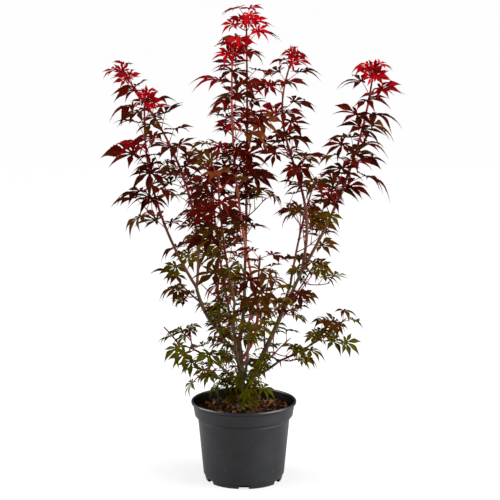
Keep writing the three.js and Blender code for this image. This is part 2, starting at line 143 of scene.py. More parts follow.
def hand_over(piece, nodes):
    """The piece takes over from the frame's nodes and rides with the rest of the plant."""
    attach(piece, "root")
    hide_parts(*nodes)
    triangles = sum(len(face.vertices) - 2 for face in piece.data.polygons)
    print(f"{piece.name}: {triangles} triangles for {len(nodes)} nodes")


# %% [markdown]
# ## Shared effects
#
# Most natural surfaces vary on two scales at once: broad clouds of colour, and a fine grain. Both are put
# in node groups, so that each material only chooses its own colours and scales. They read Object
# coordinates, which are metres here, so a scale of 100 gives marks about a centimetre across.

# %% Node groups for mottling and grain
def new_group(name, inputs, outputs):
    """An empty shader group with named sockets. An input with four parts is a colour."""
    group = bpy.data.node_groups.new(name, "ShaderNodeTree")
    for socket, value in inputs.items():
        kind = "Color" if isinstance(value, tuple) else "Float"
        made = group.interface.new_socket(socket, in_out="INPUT", socket_type=f"NodeSocket{kind}")
        made.default_value = value
    for socket, kind in outputs.items():
        group.interface.new_socket(socket, in_out="OUTPUT", socket_type=f"NodeSocket{kind}")
    return group, group.nodes.new("NodeGroupInput"), group.nodes.new("NodeGroupOutput")


def wire(links, *wires):
    """Joins sockets. A wire is a node and its output, then a node and its input."""
    for source, output, target, into in wires:
        links.new(source.outputs[output], target.inputs[into])


def squeezed_noise(group, given, detail):
    """Noise on Object coordinates, squeezed in height by the group's Stretch."""
    place, squeeze, along, cloud = (
        group.nodes.new(f"ShaderNode{kind}") for kind in ("TexCoord", "VectorMath", "CombineXYZ", "TexNoise"))
    squeeze.operation = "MULTIPLY"
    along.inputs["X"].default_value = along.inputs["Y"].default_value = 1
    cloud.inputs["Detail"].default_value = detail
    wire(group.links, (given, "Stretch", along, "Z"), (place, "Object", squeeze, 0), (along, 0, squeeze, 1),
         (squeeze, 0, cloud, "Vector"), (given, "Scale", cloud, "Scale"))
    return cloud


def build_mottle():
    """Clouds of one colour on another, with soft or hard edges."""
    group, given, result = new_group(
        "mottle",
        {"Base": (0.5, 0.5, 0.5, 1), "Marks": (0.2, 0.2, 0.2, 1), "Scale": 50, "Stretch": 1, "Amount": 0.5,
         "Softness": 0.2},
        {"Color": "Color"})
    cloud = squeezed_noise(group, given, detail=4)
    middle, low, high = (group.nodes.new("ShaderNodeMath") for _ in range(3))
    middle.operation = low.operation = "SUBTRACT"
    middle.inputs[0].default_value = 1
    edge = group.nodes.new("ShaderNodeMapRange")
    edge.interpolation_type = "SMOOTHSTEP"
    blend = group.nodes.new("ShaderNodeMix")
    blend.data_type = "RGBA"
    wire(group.links, (given, "Amount", middle, 1), (middle, 0, low, 0), (given, "Softness", low, 1),
         (middle, 0, high, 0), (given, "Softness", high, 1), (cloud, "Fac", edge, "Value"),
         (low, 0, edge, "From Min"), (high, 0, edge, "From Max"), (edge, "Result", blend, "Factor"),
         (given, "Base", blend, "A"), (given, "Marks", blend, "B"), (blend, "Result", result, "Color"))
    return group


def build_grain():
    """A fine uneven height and a roughness that follows it."""
    group, given, result = new_group(
        "grain", {"Scale": 800, "Stretch": 1, "Rough Low": 0.4, "Rough High": 0.6},
        {"Height": "Float", "Roughness": "Float"})
    grit = squeezed_noise(group, given, detail=3)
    rough = group.nodes.new("ShaderNodeMapRange")
    wire(group.links, (grit, "Fac", rough, "Value"), (given, "Rough Low", rough, "To Min"),
         (given, "Rough High", rough, "To Max"), (grit, "Fac", result, "Height"),
         (rough, "Result", result, "Roughness"))
    return group


MOTTLE = build_mottle()
GRAIN = build_grain()
print("node groups:", MOTTLE.name, GRAIN.name)

# %% [markdown]
# ## One recipe for a finish
#
# Every finish here is a Principled shader with a mottled colour, a grained roughness and a small bump.
# A function that takes the colours and scales keeps the materials short, and each material still has its
# own shader, whose constant sockets are set on the shader itself.

# %% A mottled, grained finish
def placed_group(material, group, values):
    """A group in a material. A value with three parts is a colour."""
    node = material.node_tree.nodes.new("ShaderNodeGroup")
    node.node_tree = group
    for socket, value in values.items():
        node.inputs[socket].default_value = (*value, 1) if isinstance(value, tuple) else value
    return node


def placed_mottle(material, shape, **colours):
    """The mottle in a material. Its shape is its scale, stretch, amount and softness."""
    named = dict(zip(("Scale", "Stretch", "Amount", "Softness"), shape))
    return placed_group(material, MOTTLE, {**colours, **named})


def recolour(material, node, into, output):
    """Sends the base colour so far through one more node."""
    base_colour = material.node_tree.nodes["Principled BSDF"].inputs["Base Color"]
    material.node_tree.links.new(base_colour.links[0].from_socket, node.inputs[into])
    material.node_tree.links.new(node.outputs[output], base_colour)


def finish(name, base, marks, mottle, grain, rough, bump, depth, shine=0.08):
    """A material from two colours, a mottle's shape, a grain (scale, stretch) and its roughness and bump."""
    material = bpy.data.materials.new(name)
    material.use_nodes = True
    shader = material.node_tree.nodes["Principled BSDF"]
    shader.inputs["Specular IOR Level"].default_value = shine
    clouds = placed_mottle(material, mottle, Base=base, Marks=marks)
    grit = placed_group(material, GRAIN, {
        "Scale": grain[0], "Stretch": grain[1], "Rough Low": rough[0], "Rough High": rough[1]})
    relief = material.node_tree.nodes.new("ShaderNodeBump")
    relief.inputs["Strength"].default_value = bump
    relief.inputs["Distance"].default_value = depth * MM
    wire(material.node_tree.links, (clouds, "Color", shader, "Base Color"),
         (grit, "Roughness", shader, "Roughness"), (grit, "Height", relief, "Height"),
         (relief, "Normal", shader, "Normal"))
    return material


# %% [markdown]
# ## The pot
#
# A nursery pot is blow-moulded from thin black plastic. Its wall leans out, a stepped collar stiffens the
# top, the lip is rolled, and notches in the bottom corner let water out. It could be a spun profile, but
# raising a disc ring by ring needs no closing of seams: the same face is carried up the outside, over the
# lip and down the inside, and ends as the inner floor.

# %% Pot profile, as (radius, height) rings
FLOOR = 3.0
POT_HEIGHT = 200.0
OUTER_RINGS = [
    (76, 1.6), (88, 1.6), (89.2, 0), (93.0, 0), (94.4, 1.2), (97.4, 13), (98.2, 15.2), (99.7, 16.6),
    (100.0, 18), (106.4, 84), (112.9, 151.4), (113.5, 152.6), (113.9, 154), (113.8, 155.2), (113.6, 156),
    (114.2, 157.4), (117.0, 160), (119.9, 162.4), (121.2, 164.4), (121.5, 167), (123.4, 178), (125.2, 190),
    (127.0, 191.6), (129.4, 193.4), (130.0, 195.8), (129.8, 198.2), (128.7, 199.7), (127.2, 200),
]
INNER_RINGS = [
    (125.0, 199.4), (123.6, 197.4), (121.2, 180), (119.0, 167.4), (115.4, 163.4), (111.2, 157.4), (104.0, 84),
    (97.7, 18), (94.0, 6), (91.6, 3.4), (88, FLOOR),
]


# %% Raise the pot ring by ring
def raise_rings(name, rings, sides):
    """Carries a disc from ring to ring and closes it at both ends."""
    clear_selection()
    radius, height = rings[0]
    bpy.ops.mesh.primitive_circle_add(
        vertices=sides, radius=radius * MM, fill_type="NGON", location=(0, 0, height * MM))
    edit_all()
    for next_radius, next_height in rings[1:]:
        rise, widen = (next_height - height) * MM, next_radius / radius
        bpy.ops.mesh.extrude_region_move(TRANSFORM_OT_translate={"value": (0, 0, rise)})
        bpy.ops.transform.resize(value=(widen, widen, 1), center_override=(0, 0, next_height * MM))
        radius, height = next_radius, next_height
    bpy.ops.mesh.select_all(action="SELECT")
    bpy.ops.mesh.normals_make_consistent(inside=False)
    return settle(bpy.context.object, name)


pot = raise_rings("pot_shell", OUTER_RINGS + INNER_RINGS, sides=144)
print("pot vertices:", len(pot.data.vertices))

# %% [markdown]
# The notches are cut with a boolean: one rounded block, copied round the foot of the pot. A bevel afterwards
# softens the cut plastic, because a moulded edge is never sharp.

# %% Cut the drainage notches
NOTCHES = 6
NOTCH_BLOCK = (25, 24, 19)
NOTCH_OUT = 96.5
clear_selection()
bpy.ops.mesh.primitive_cube_add(size=1, location=(0, -NOTCH_OUT * MM, 0))
cutters = bpy.context.object
cutters.scale = [side * MM for side in NOTCH_BLOCK]
bpy.ops.object.transform_apply(location=False, rotation=False, scale=True)
modify(cutters, "BEVEL", "rounded corners", width=3 * MM, segments=3)
bpy.ops.object.transform_apply(location=True)
edit_all()
for turn in range(NOTCHES - 1):
    bpy.ops.mesh.duplicate()
    bpy.ops.transform.rotate(value=2 * math.pi / NOTCHES, orient_axis="Z", center_override=(0, 0, 0))
bpy.ops.object.mode_set(mode="OBJECT")
pick(pot)
modify(pot, "BOOLEAN", "drainage notches", operation="DIFFERENCE", solver="EXACT", object=cutters)
bpy.data.objects.remove(cutters)
modify(pot, "BEVEL", "moulded edges", width=0.5 * MM, segments=2, limit_method="ANGLE",
       angle_limit=math.radians(50))
bpy.ops.object.shade_smooth_by_angle(angle=math.radians(38))
print("pot after notches:", len(pot.data.polygons), "faces")

# %% [markdown]
# Black plastic is never quite black. It is a charcoal with a soft sheen, paler scuffs where pots rubbed in a
# stack, and a little dried dust. The scuffs are a second mottle, stretched round the pot by squeezing it in
# height. The inside of the wall gets a darker, duller plastic: painted shade, for the shade that falls inside
# the pot.

# %% Moulded plastic
LIP_INSIDE = 125
plastic = finish("moulded plastic", (0.0054, 0.0059, 0.0078), (0.0104, 0.0110, 0.0132),
                 mottle=(14, 2.2, 0.42, 0.2), grain=(1100, 1), rough=(0.34, 0.48), bump=0.22, depth=0.12,
                 shine=0.5)
scuffs = placed_mottle(plastic, (60, 4, 0.3, 0.05), Marks=(0.045, 0.046, 0.047))
recolour(plastic, scuffs, "Base", "Color")
# Painted shade: the inside of the wall gets a darker, duller plastic, for the shade inside the pot.
painted_inner_shade = finish("inner plastic with painted shade", (0.0038, 0.0033, 0.0028), (0.0075, 0.0058, 0.0044),
              mottle=(40, 3, 0.4, 0.15), grain=(1100, 1), rough=(0.45, 0.65), bump=0.25, depth=0.15,
              shine=0.02)
pot.data.materials.clear()
pot.data.materials.append(plastic)
pot.data.materials.append(painted_inner_shade)
# Faces that look inwards below the lip get the painted inner shade.
for face in pot.data.polygons:
    middle, normal = face.center, face.normal
    looks_inwards = middle.x * normal.x + middle.y * normal.y < 0 and middle.z < (POT_HEIGHT - 2) * MM
    within_the_lip = math.hypot(middle.x, middle.y) < LIP_INSIDE * MM and middle.z > FLOOR * MM
    face.material_index = int(looks_inwards and within_the_lip)
hand_over(pot, ["pot"])

# %% [markdown]
# ## The compost
#
# The pot is filled to a finger's breadth below the rim with composted bark: a dark crumb with chips lying
# on it. The crumb is one plug, raised like the pot and then inset ring after ring over its top, so that
# there are enough vertices there to push into lumps. The chips are a few shapes copied by the hundred.

# %% Raise the plug of compost
COMPOST_TOP = 176.0
PLUG_RINGS = [(78, 3.4), (97.3, 25), (110.5, 156.6), (118.3, 167.4), (120.0, 172.5), (119.4, 175)]
TOP_RINGS = [(radius, COMPOST_TOP) for radius in range(116, 5, -5)]
plug = raise_rings("compost_crumb", PLUG_RINGS + TOP_RINGS, sides=120)


def surface_lift(x, y):
    """How far the crumb stands over its mean level, in millimetres."""
    broad = noise.noise(Vector((x / 42, y / 42, 3.1)))
    fine = noise.noise(Vector((x / 9, y / 9, 8.7)))
    return 2.6 * broad + 1.5 * fine


places = positions(plug)
on_top = places[:, 2] > (COMPOST_TOP - 2) * MM
for i in np.flatnonzero(on_top):
    x, y = places[i, :2] / MM
    fade = min(1.0, (120 - math.hypot(x, y)) / 8)
    places[i, 2] += max(0.0, fade) * surface_lift(x, y) * MM
move_vertices(plug, places)
crumb = finish("compost crumb", (0.010, 0.0050, 0.0030), (0.040, 0.018, 0.009),
               mottle=(260, 1, 0.45, 0.1), grain=(700, 1), rough=(0.8, 1.0), bump=1.0, depth=3)
smooth_over(plug, crumb)
hand_over(plug, ["compost"])

# %% [markdown]
# A bark chip is a torn sliver: a low block, wider than it is thick, with its corners pulled about. Three are
# modelled one by one and copied. The copies are laid nearly flat, each turned and sized by dice, and sorted
# into three colours of bark.

# %% Model the chips
CHIP_SHAPES = [((1.0, 0.40, 0.20), 3), ((1.1, 0.26, 0.16), 7), ((0.8, 0.52, 0.26), 12)]


def model_chip(size, seed):
    """One torn chip, a millimetre long, as its vertices and faces."""
    clear_selection()
    bpy.ops.mesh.primitive_cube_add(size=1)
    chip = bpy.context.object
    chip.scale = size
    bpy.ops.object.transform_apply(scale=True)
    edit_all()
    bpy.ops.mesh.subdivide(number_cuts=1)
    bpy.ops.transform.vertex_random(offset=0.09, seed=seed)
    bpy.ops.object.mode_set(mode="OBJECT")
    shape = positions(chip), [list(face.vertices) for face in chip.data.polygons]
    bpy.data.objects.remove(chip)
    return shape


chip_shapes = [model_chip(size, seed) for size, seed in CHIP_SHAPES]
print("faces on a chip:", [len(faces) for _, faces in chip_shapes])

# %% Scatter the chips
CHIP_TONES = [
    ("red_bark_chips", 0.22, (0.350, 0.140, 0.060), (0.150, 0.054, 0.024)),
    ("brown_bark_chips", 0.34, (0.110, 0.047, 0.022), (0.034, 0.015, 0.007)),
    ("dark_bark_chips", 0.44, (0.012, 0.006, 0.004), (0.005, 0.003, 0.002)),
]
CHIPS = 2900
CHIP_REACH = 117.0
SHORTEST_CHIP, CHIP_SPREAD, FEW_LONG = 3.8, 14, 2.6
CHIP_PILE = 4.2


class Batch:
    """Many small shapes that become one mesh."""

    def __init__(self):
        self.rows, self.faces, self.count = [], [], 0

    def add(self, points, faces):
        self.rows.append(points * MM)
        self.faces += [[corner + self.count for corner in face] for face in faces]
        self.count += len(points)

    def piece(self, name, smooth=True):
        return mesh_piece(name, np.vstack(self.rows), self.faces, smooth)


def turned(points, angle, first, second):
    """Points turned by an angle in the plane of two of their axes."""
    result = points.copy()
    result[:, first] = points[:, first] * math.cos(angle) - points[:, second] * math.sin(angle)
    result[:, second] = points[:, first] * math.sin(angle) + points[:, second] * math.cos(angle)
    return result


rng = np.random.default_rng(5)
batches = [Batch() for _ in CHIP_TONES]
for _ in range(CHIPS):
    length = SHORTEST_CHIP + CHIP_SPREAD * rng.random() ** FEW_LONG
    out = (CHIP_REACH - length * 0.5) * math.sqrt(rng.random())
    around = rng.random() * 2 * math.pi
    x, y = out * math.cos(around), out * math.sin(around)
    turn = rng.random() * 2 * math.pi
    tilt = rng.normal(0, 0.5)
    shape, faces = chip_shapes[rng.integers(len(chip_shapes))]
    batch = batches[rng.choice(3, p=[share for _, share, _, _ in CHIP_TONES])]
    level = COMPOST_TOP + surface_lift(x, y) + 0.2 + CHIP_PILE * rng.random()
    lying = turned(turned(shape * length, tilt, 0, 2), turn, 0, 1)
    batch.add(lying + (x, y, level), faces)
for batch, (name, _, base, marks) in zip(batches, CHIP_TONES):
    chips = batch.piece(name, smooth=False)
    chips.data.materials.append(finish(name.replace("_", " "), base, marks, mottle=(420, 1, 0.5, 0.12),
                                       grain=(1500, 1), rough=(0.7, 0.95), bump=0.6, depth=0.6))
    hand_over(chips, ["compost"])

# %% [markdown]
# ## How the plant grows
#
# Everything above the compost grows by one rule, which the frame follows too. A limb is a line that leaves
# its parent at some share of the parent's length and runs, bowed, to its tip. Each tip or fork carries a
# leafy shoot. On a shoot the leaves stand in opposite pairs, each pair turned a quarter from the last, and
# some places low on the shoot bear a side twig instead, which repeats the rule. Sizes are in millimetres.

# %% Trunk, boughs and shoots
GAP = 0.3
TRUNK_FOOT = (-5, 0, COMPOST_TOP + GAP)
LIMBS = {  # parent, place on it, tip, bow, radii at foot and tip
    "trunk": (None, 0, (-12, 0, 352), (3, 2, 0), (11.5, 6.6)),
    "left_bough": ("trunk", 0.97, (-114, -36, 489), (-16, 0, -16), (5.4, 3.5)),
    "back_bough": ("trunk", 0.97, (2, 30, 492), (4, 2, 0), (5, 3.4)),
    "centre_bough": ("trunk", 0.7, (33, -42, 457), (14, -4, -8), (4.4, 3.2)),
    "right_bough": ("trunk", 0.16, (141, -28, 529), (4, 0, 6), (7.4, 3.7)),
    "back_left_bough": ("trunk", 0.86, (-48, 74, 480), (-4, 8, -10), (3.9, 2.9)),
    "front_left_bough": ("trunk", 0.5, (-22, -74, 463), (-8, -8, -8), (4, 2.9)),
    "back_right_bough": ("right_bough", 0.5, (116, 64, 480), (0, 8, -8), (4, 2.9)),
    "front_bough": ("trunk", 0.36, (10, -82, 405), (6, -8, -8), (4, 2.8)),
    "low_left_bough": ("trunk", 0.4, (-58, -32, 293), (0, 0, -3), (3.4, 2.7)),
    "low_right_bough": ("right_bough", 0.16, (88, -30, 306), (0, 0, -4), (3.4, 2.6)),
    "low_back_bough": ("trunk", 0.3, (-14, 66, 296), (0, 4, -4), (3.4, 2.6)),
}
MASSES = {  # parent, place on it, tip, bow, leaf, share of places with a twig
    "left_upright": ("left_bough", 1, (-228, -124, 956), (-40, 0, 0), 70, 0.3),
    "left_outer": ("left_bough", 1, (-296, 84, 1000), (60, 6, 0), 68, 0.3),
    "crown_leader": ("back_bough", 1, (6, 120, 1138), (4, -4, 0), 70, 0.3),
    "front_leader": ("centre_bough", 1, (-24, -164, 1072), (-22, 4, 0), 72, 0.3),
    "right_inner": ("right_bough", 1, (122, 200, 1032), (-10, -14, 0), 68, 0.3),
    "right_outer": ("right_bough", 1, (304, -84, 1014), (28, 0, 0), 72, 0.3),
    "back_left": ("back_left_bough", 1, (-84, 250, 800), (-8, 0, -10), 66, 0.3),
    "front_left": ("front_left_bough", 1, (-58, -252, 792), (-6, -16, 0), 64, 0.3),
    "back_right": ("back_right_bough", 1, (186, 262, 722), (-4, 0, 10), 62, 0.3),
    "front_middle": ("front_bough", 1, (38, -250, 604), (6, 6, 0), 58, 0.35),
    "left_side": ("left_bough", 0.8, (-166, -56, 524), (-6, 0, 0), 50, 0.3),
    "right_side": ("right_bough", 0.72, (172, -40, 550), (0, 0, -8), 50, 0.3),
    "low_left": ("low_left_bough", 1, (-160, -92, 362), (0, 0, 8), 50, 0.4),
    "low_right": ("low_right_bough", 1, (246, -80, 422), (0, 0, -10), 50, 0.25),
    "low_back": ("low_back_bough", 1, (-96, 196, 392), (0, 0, -10), 50, 0.4),
    "inner_left": ("left_bough", 0.3, (-50, 20, 560), (-10, 0, 0), 46, 0.4),
    "inner_right": ("right_bough", 0.36, (64, 14, 520), (-6, 6, 0), 46, 0.4),
    "inner_front": ("centre_bough", 0.55, (66, -120, 500), (6, 0, -6), 44, 0.3),
    "base_left": ("trunk", 0.3, (-116, -20, 266), (0, 0, 8), 44, 0.4),
    "base_right": ("right_bough", 0.14, (116, 44, 346), (0, 0, 4), 44, 0.4),
    "base_front": ("trunk", 0.14, (24, -82, 244), (0, 0, 6), 38, 0.2),
}
SWAY = {"right_inner": (24, -6, 0)}
BARE = {"left_upright": 0.28, "right_outer": 0.25}
TALL_FROM = 600
YOUNG_FROM = 930
YOUNG_SHARE = 0.1
YOUNG_LEAF = {"left_upright": 0.5}
USUAL_YOUNG_LEAF = 0.7
TALL_STEM, LOW_STEM = 3.1, 2.6

# %% Lines in space
UP = np.array([0.0, 0.0, 1.0])


def unit(vector):
    return vector / np.linalg.norm(vector)


def square_to(axis, vector):
    """The direction nearest to a vector that is square to an axis."""
    return unit(vector - axis * vector.dot(axis))


class Line:
    """A limb's line, or the stretch of it between two shares of its length."""

    def __init__(self, start, tip, bow=(0, 0, 0), sway=(0, 0, 0), low=0.0, high=1.0):
        self.start, self.tip, self.bow, self.sway = (np.array(v, float) for v in (start, tip, bow, sway))
        self.low, self.high = low, high
        self.length = np.linalg.norm(np.diff(self.samples(201), axis=0), axis=1).sum()

    def samples(self, count):
        return np.array([self.at(share) for share in np.linspace(0, 1, count)])

    def at(self, share):
        t = self.low + (self.high - self.low) * share
        straight = self.start * (1 - t) + self.tip * t
        return straight + self.bow * 4 * t * (1 - t) + self.sway * math.sin(2 * math.pi * t)

    def heading(self, share):
        t = self.low + (self.high - self.low) * share
        swing = self.sway * 2 * math.pi * math.cos(2 * math.pi * t)
        return unit(self.tip - self.start + self.bow * 4 * (1 - 2 * t) + swing)

    def stretch(self, low, high):
        return Line(self.start, self.tip, self.bow, self.sway, low, high)


def across(heading):
    """Two directions square to a heading, the first as near to +X as it can be."""
    side = unit(np.array([1.0, 0.0, 0.0]) - heading * heading[0])
    return side, np.cross(side, heading)


limb_lines, limb_radii = {}, {}
for name, (parent, place, tip, bow, radii) in LIMBS.items():
    start = limb_lines[parent].at(place) if parent else TRUNK_FOOT
    limb_lines[name], limb_radii[name] = Line(start, tip, bow), radii
print("wood before the shoots:", round(sum(line.length for line in limb_lines.values())), "mm")

# %% [markdown]
# The dice are a small generator whose every step is a few whole-number operations, so that any program can
# throw the same numbers. A leaf's plan is where it stands: its root on the stem, the middle of its blade,
# the way its middle lobe points, and the way its upper face looks.

# %% Dice and leaf plans
WORD = 0xFFFFFFFF
TURNS_TRIED = (0, 0.5, -0.5, 1, -1)
SIZES_TRIED = (1, 0.78, 0.6)
INTERNODE = {"shoot": 40, "twig": 34, "young": 29}
LEAN_TO_LIGHT = np.array([0.0, -0.22, 0.0])
TO_LIGHT = np.array([0.0, -0.8, 0.0])
PAIR_STEP = 3
SHADE_FROM, SHADE_DEPTH = 430, 130
ROLLED = 0.42
TWIG_REACH, TWIG_SAG, TWIG_BARE, TWIG_HIGHEST, TWIG_LEAF = 92, 5, 0.3, 0.62, 0.85


def dice(seed):
    """A seeded source of numbers from 0 to 1."""
    state = seed

    def roll():
        nonlocal state
        state = (state + 0x6D2B79F5) & WORD
        mixed = ((state ^ (state >> 15)) * (state | 1)) & WORD
        mixed ^= (mixed + ((mixed ^ (mixed >> 7)) * (mixed | 61))) & WORD
        return ((mixed ^ (mixed >> 14)) & WORD) / 2**32

    return roll


def lerp(low, high, share):
    return low + (high - low) * share


def leaning_way(line, share, around, lean):
    """A way out from a stem: along it, but leaning off it to one side."""
    heading = line.heading(share)
    side, other = across(heading)
    return heading * math.cos(lean) + math.sin(lean) * (side * math.cos(around) + other * math.sin(around))


def arch(droop, radius):
    """How high a lobe stands over its leaf's plane: it rises first and then hangs."""
    return 0.22 * radius - (0.1 + droop) * radius**2


def leaf_plan(line, share, around, size, young, rolls):
    lean = lerp(0.4, 0.8, rolls[0]) if young else lerp(0.7, 1.05, rolls[0])
    facing = lerp(0.7, 1.8, rolls[2]) if young else lerp(-0.1, 0.75, rolls[2] ** 1.3)
    droop = lerp(-0.1, 0.2, rolls[4]) if young else lerp(0.06, 0.34, rolls[4])
    stalk = unit(leaning_way(line, share, around, lean) + 0.25 * UP)
    root = line.at(share)
    shaded = min(1, max(0, (SHADE_FROM - root[2]) / SHADE_DEPTH))
    facing += 0.3 * shaded + (0.6 if rolls[3] > 0.9 and not young else 0)
    droop += 0.06 * shaded
    centre = root + stalk * size * lerp(0.55, 0.75, rolls[1])
    normal = unit(stalk * facing + UP + LEAN_TO_LIGHT)
    ahead = square_to(normal, np.array([stalk[0], stalk[1], 0.0]))
    roll = lerp(-ROLLED, ROLLED, rolls[3])
    normal = normal * math.cos(roll) + np.cross(ahead, normal) * math.sin(roll)
    return dict(root=root, centre=centre, ahead=ahead, normal=normal, size=size, droop=droop, young=young)


def twig_plan(line, share, around, rolls):
    way = leaning_way(line, share, around, lerp(0.75, 1, rolls[0]))
    start = line.at(share)
    reach = TWIG_REACH * (1 - 0.5 * share) * lerp(0.7, 1.1, rolls[1])
    return Line(start, start + way * reach, bow=(0, 0, -TWIG_SAG))


print("first throws of dice 100:", [round(throw(), 4) for throw in [dice(100)] * 3])

# %% [markdown]
# Before a leaf is hung, a rough star in its place is tested against all that hangs already. If they would
# touch, the leaf turns a little round its stem, then shrinks, and at last is left out, as a shaded leaf is
# dropped. The lobes must also end nearer their own shoot than any other, so that each mass keeps to its
# own space and the sky shows between them. The crown has open windows too, where whole twigs have gone:
# they are named by their place and half size on the upright plane through the trunk, as the eye sees them.

# %% Windows of sky
SKY_WINDOWS = [
    (49, 673, 34, 30), (69, 600, 56, 31), (-115, 406, 29, 19), (-141, 422, 22, 22), (275, 678, 42, 31),
    (250, 925, 19, 19), (181, 873, 32, 32), (-100, 873, 27, 38), (-78, 959, 19, 32), (111, 356, 29, 17),
    (79, 258, 29, 17), (174, 421, 34, 19), (-208, 605, 29, 29), (-292, 737, 22, 20), (-165, 892, 19, 22),
    (186, 491, 24, 14), (102, 705, 14, 14), (85, 781, 15, 15), (-203, 779, 9, 9), (-181, 777, 9, 9),
    (-167, 654, 12, 12), (-169, 693, 13, 13), (-145, 685, 10, 10), (13, 669, 12, 12), (160, 703, 15, 15),
    (153, 748, 10, 10), (121, 791, 10, 10), (181, 760, 11, 11), (203, 604, 15, 15), (136, 625, 13, 13),
    (117, 697, 12, 12), (46, 562, 11, 11), (-222, 894, 10, 10), (-246, 966, 9, 9),
]

# %% Growing without touching
STAR = [(0, 1), (21, 0.31), (42, 0.92), (65, 0.31), (88, 0.62), (180, 0.1),
        (272, 0.62), (295, 0.31), (318, 0.92), (339, 0.31)]
CLEAR = 0.9
CLEAR_OF_COMPOST = 3
WITHIN_THE_RIM = 114
FURTHEST = 376


def on_blade(leaf, angle, radius, height=0.0):
    """A point of a leaf, by its angle and radius on the blade and its height over it."""
    left = np.cross(leaf["normal"], leaf["ahead"])
    turn = math.radians(angle)
    flat = leaf["ahead"] * math.cos(turn) + left * math.sin(turn)
    return leaf["centre"] + flat * radius + leaf["normal"] * height


def star_of(leaf):
    """The rough blade and stalk of a leaf as vertices and triangles."""
    size, droop = leaf["size"], leaf["droop"]
    rim = [on_blade(leaf, a, r * size, size * arch(droop, r)) for a, r in STAR]
    points = rim + [leaf["centre"], leaf["root"] * 0.8 + leaf["centre"] * 0.2]
    middle, foot = len(rim), len(rim) + 1
    fan = [(middle, i, (i + 1) % len(rim)) for i in range(len(rim))]
    return points, fan + [(middle, 5, foot)]


class Standing:
    """What already stands: shoots as lines with a radius, and hung stars for leaves."""

    def __init__(self):
        self.stems = []
        self.stars = []

    def add_stem(self, line, radius, owner):
        self.stems.append((line.samples(25), radius, owner))

    def too_near_a_stem(self, points, owner):
        points = np.array(points)
        for stem, radius, whose in self.stems:
            if whose != owner:
                a, b = stem[:-1], stem[1:]
                span = b - a
                lean = np.clip(((points[:, None] - a) * span).sum(2) / (span * span).sum(1), 0, 1)
                away = np.linalg.norm(points[:, None] - (a + span * lean[..., None]), axis=2)
                if away.min() < radius + CLEAR:
                    return True
        return False

    def meets_a_star(self, tree, middle, reach):
        return any(
            np.linalg.norm(other_middle - middle) < reach + other_reach and tree.overlap(other)
            for other, other_middle, other_reach in self.stars
        )

    def fits(self, leaf, owner):
        if shows_the_sky(leaf):
            return False
        points, faces = star_of(leaf)
        if max(abs(point[0]) for point in points) > FURTHEST:
            return False
        halfway = [(points[i] + leaf["centre"]) / 2 for i in (0, 2, 4, 6, 8)]
        lowest = min(point[2] for point in points)
        in_the_pot = [math.hypot(p[0], p[1]) for p in points if p[2] < POT_HEIGHT + 1]
        if lowest < COMPOST_TOP + CLEAR_OF_COMPOST or max(in_the_pot, default=0) > WITHIN_THE_RIM:
            return False
        if self.too_near_a_stem(points[:-1] + halfway, owner):
            return False
        tree = BVHTree.FromPolygons([Vector(p) for p in points], faces)
        reach = leaf["size"] * 1.05
        if self.meets_a_star(tree, leaf["centre"], reach):
            return False
        self.stars.append((tree, leaf["centre"], reach))
        return True


def seen_at(place):
    """Where the eye sees a place, on the upright plane through the trunk."""
    nearer = -EYE[1] / (place[1] - EYE[1])
    return EYE[0] + (place[0] - EYE[0]) * nearer, EYE[2] + (place[2] - EYE[2]) * nearer


def shows_the_sky(leaf):
    """Whether a leaf would hang in one of the windows of sky."""
    spots = [leaf["centre"]] + [on_blade(leaf, angle, 0.65 * leaf["size"]) for angle in (0, 42, -42)]
    return any(((x - gap_x) / wide) ** 2 + ((z - gap_z) / high) ** 2 < 1
               for x, z in map(seen_at, spots) for gap_x, gap_z, wide, high in SKY_WINDOWS)


def keeps_to_its_space(leaf, own_line, other_lines):
    rise = leaf["size"] * arch(leaf["droop"], 1)
    tips = np.array([on_blade(leaf, angle, leaf["size"], rise) for angle in (0, 42, -42)])
    near = np.linalg.norm(tips[:, None] - own_line, axis=2).min(1)
    return all((np.linalg.norm(tips[:, None] - line, axis=2).min(1) > near).all() for line in other_lines)


# %% [markdown]
# Now the shoots stand up, and each mass is grown in turn. A twig that would run into another stem is left
# out with all its leaves.

# %% The masses and what stands
masses = []
for index, (shoot, (parent, place, tip, bow, leaf, twiggy)) in enumerate(MASSES.items()):
    whole = Line(limb_lines[parent].at(place), tip, bow, SWAY.get(shoot, (0, 0, 0)))
    young_from = 1 - YOUNG_SHARE if tip[2] > YOUNG_FROM else 1
    common = dict(shoot=shoot, tall=tip[2] > TALL_FROM, whole=whole)
    masses.append(dict(common, name=f"{shoot}_foliage", line=whole.stretch(0, young_from), young=False,
                       seed=100 + index * 7, leaf=leaf, twiggy=twiggy, bare=BARE.get(shoot, 0.05)))
    if young_from < 1:
        young_leaf = leaf * YOUNG_LEAF.get(shoot, USUAL_YOUNG_LEAF)
        masses.append(dict(common, name=f"{shoot}_young_tip", line=whole.stretch(young_from, 1), young=True,
                           seed=101 + index * 7, leaf=young_leaf, twiggy=0, bare=0.1))

standing = Standing()
for name, line in limb_lines.items():
    standing.add_stem(line, limb_radii[name][0], name)
for mass in masses:
    standing.add_stem(mass["line"], TALL_STEM if mass["tall"] else LOW_STEM, mass["name"])
print(len(masses), "masses,", len(standing.stems), "stems")

# %% [markdown]
# The leaves that catch the eye come first: a star here and there that is turned to the light, each on a twig
# from the nearest shoot. All the others have to make room for them. A spot is given by its place on the
# upright plane through the trunk, its size and, where it stands out, its colour.

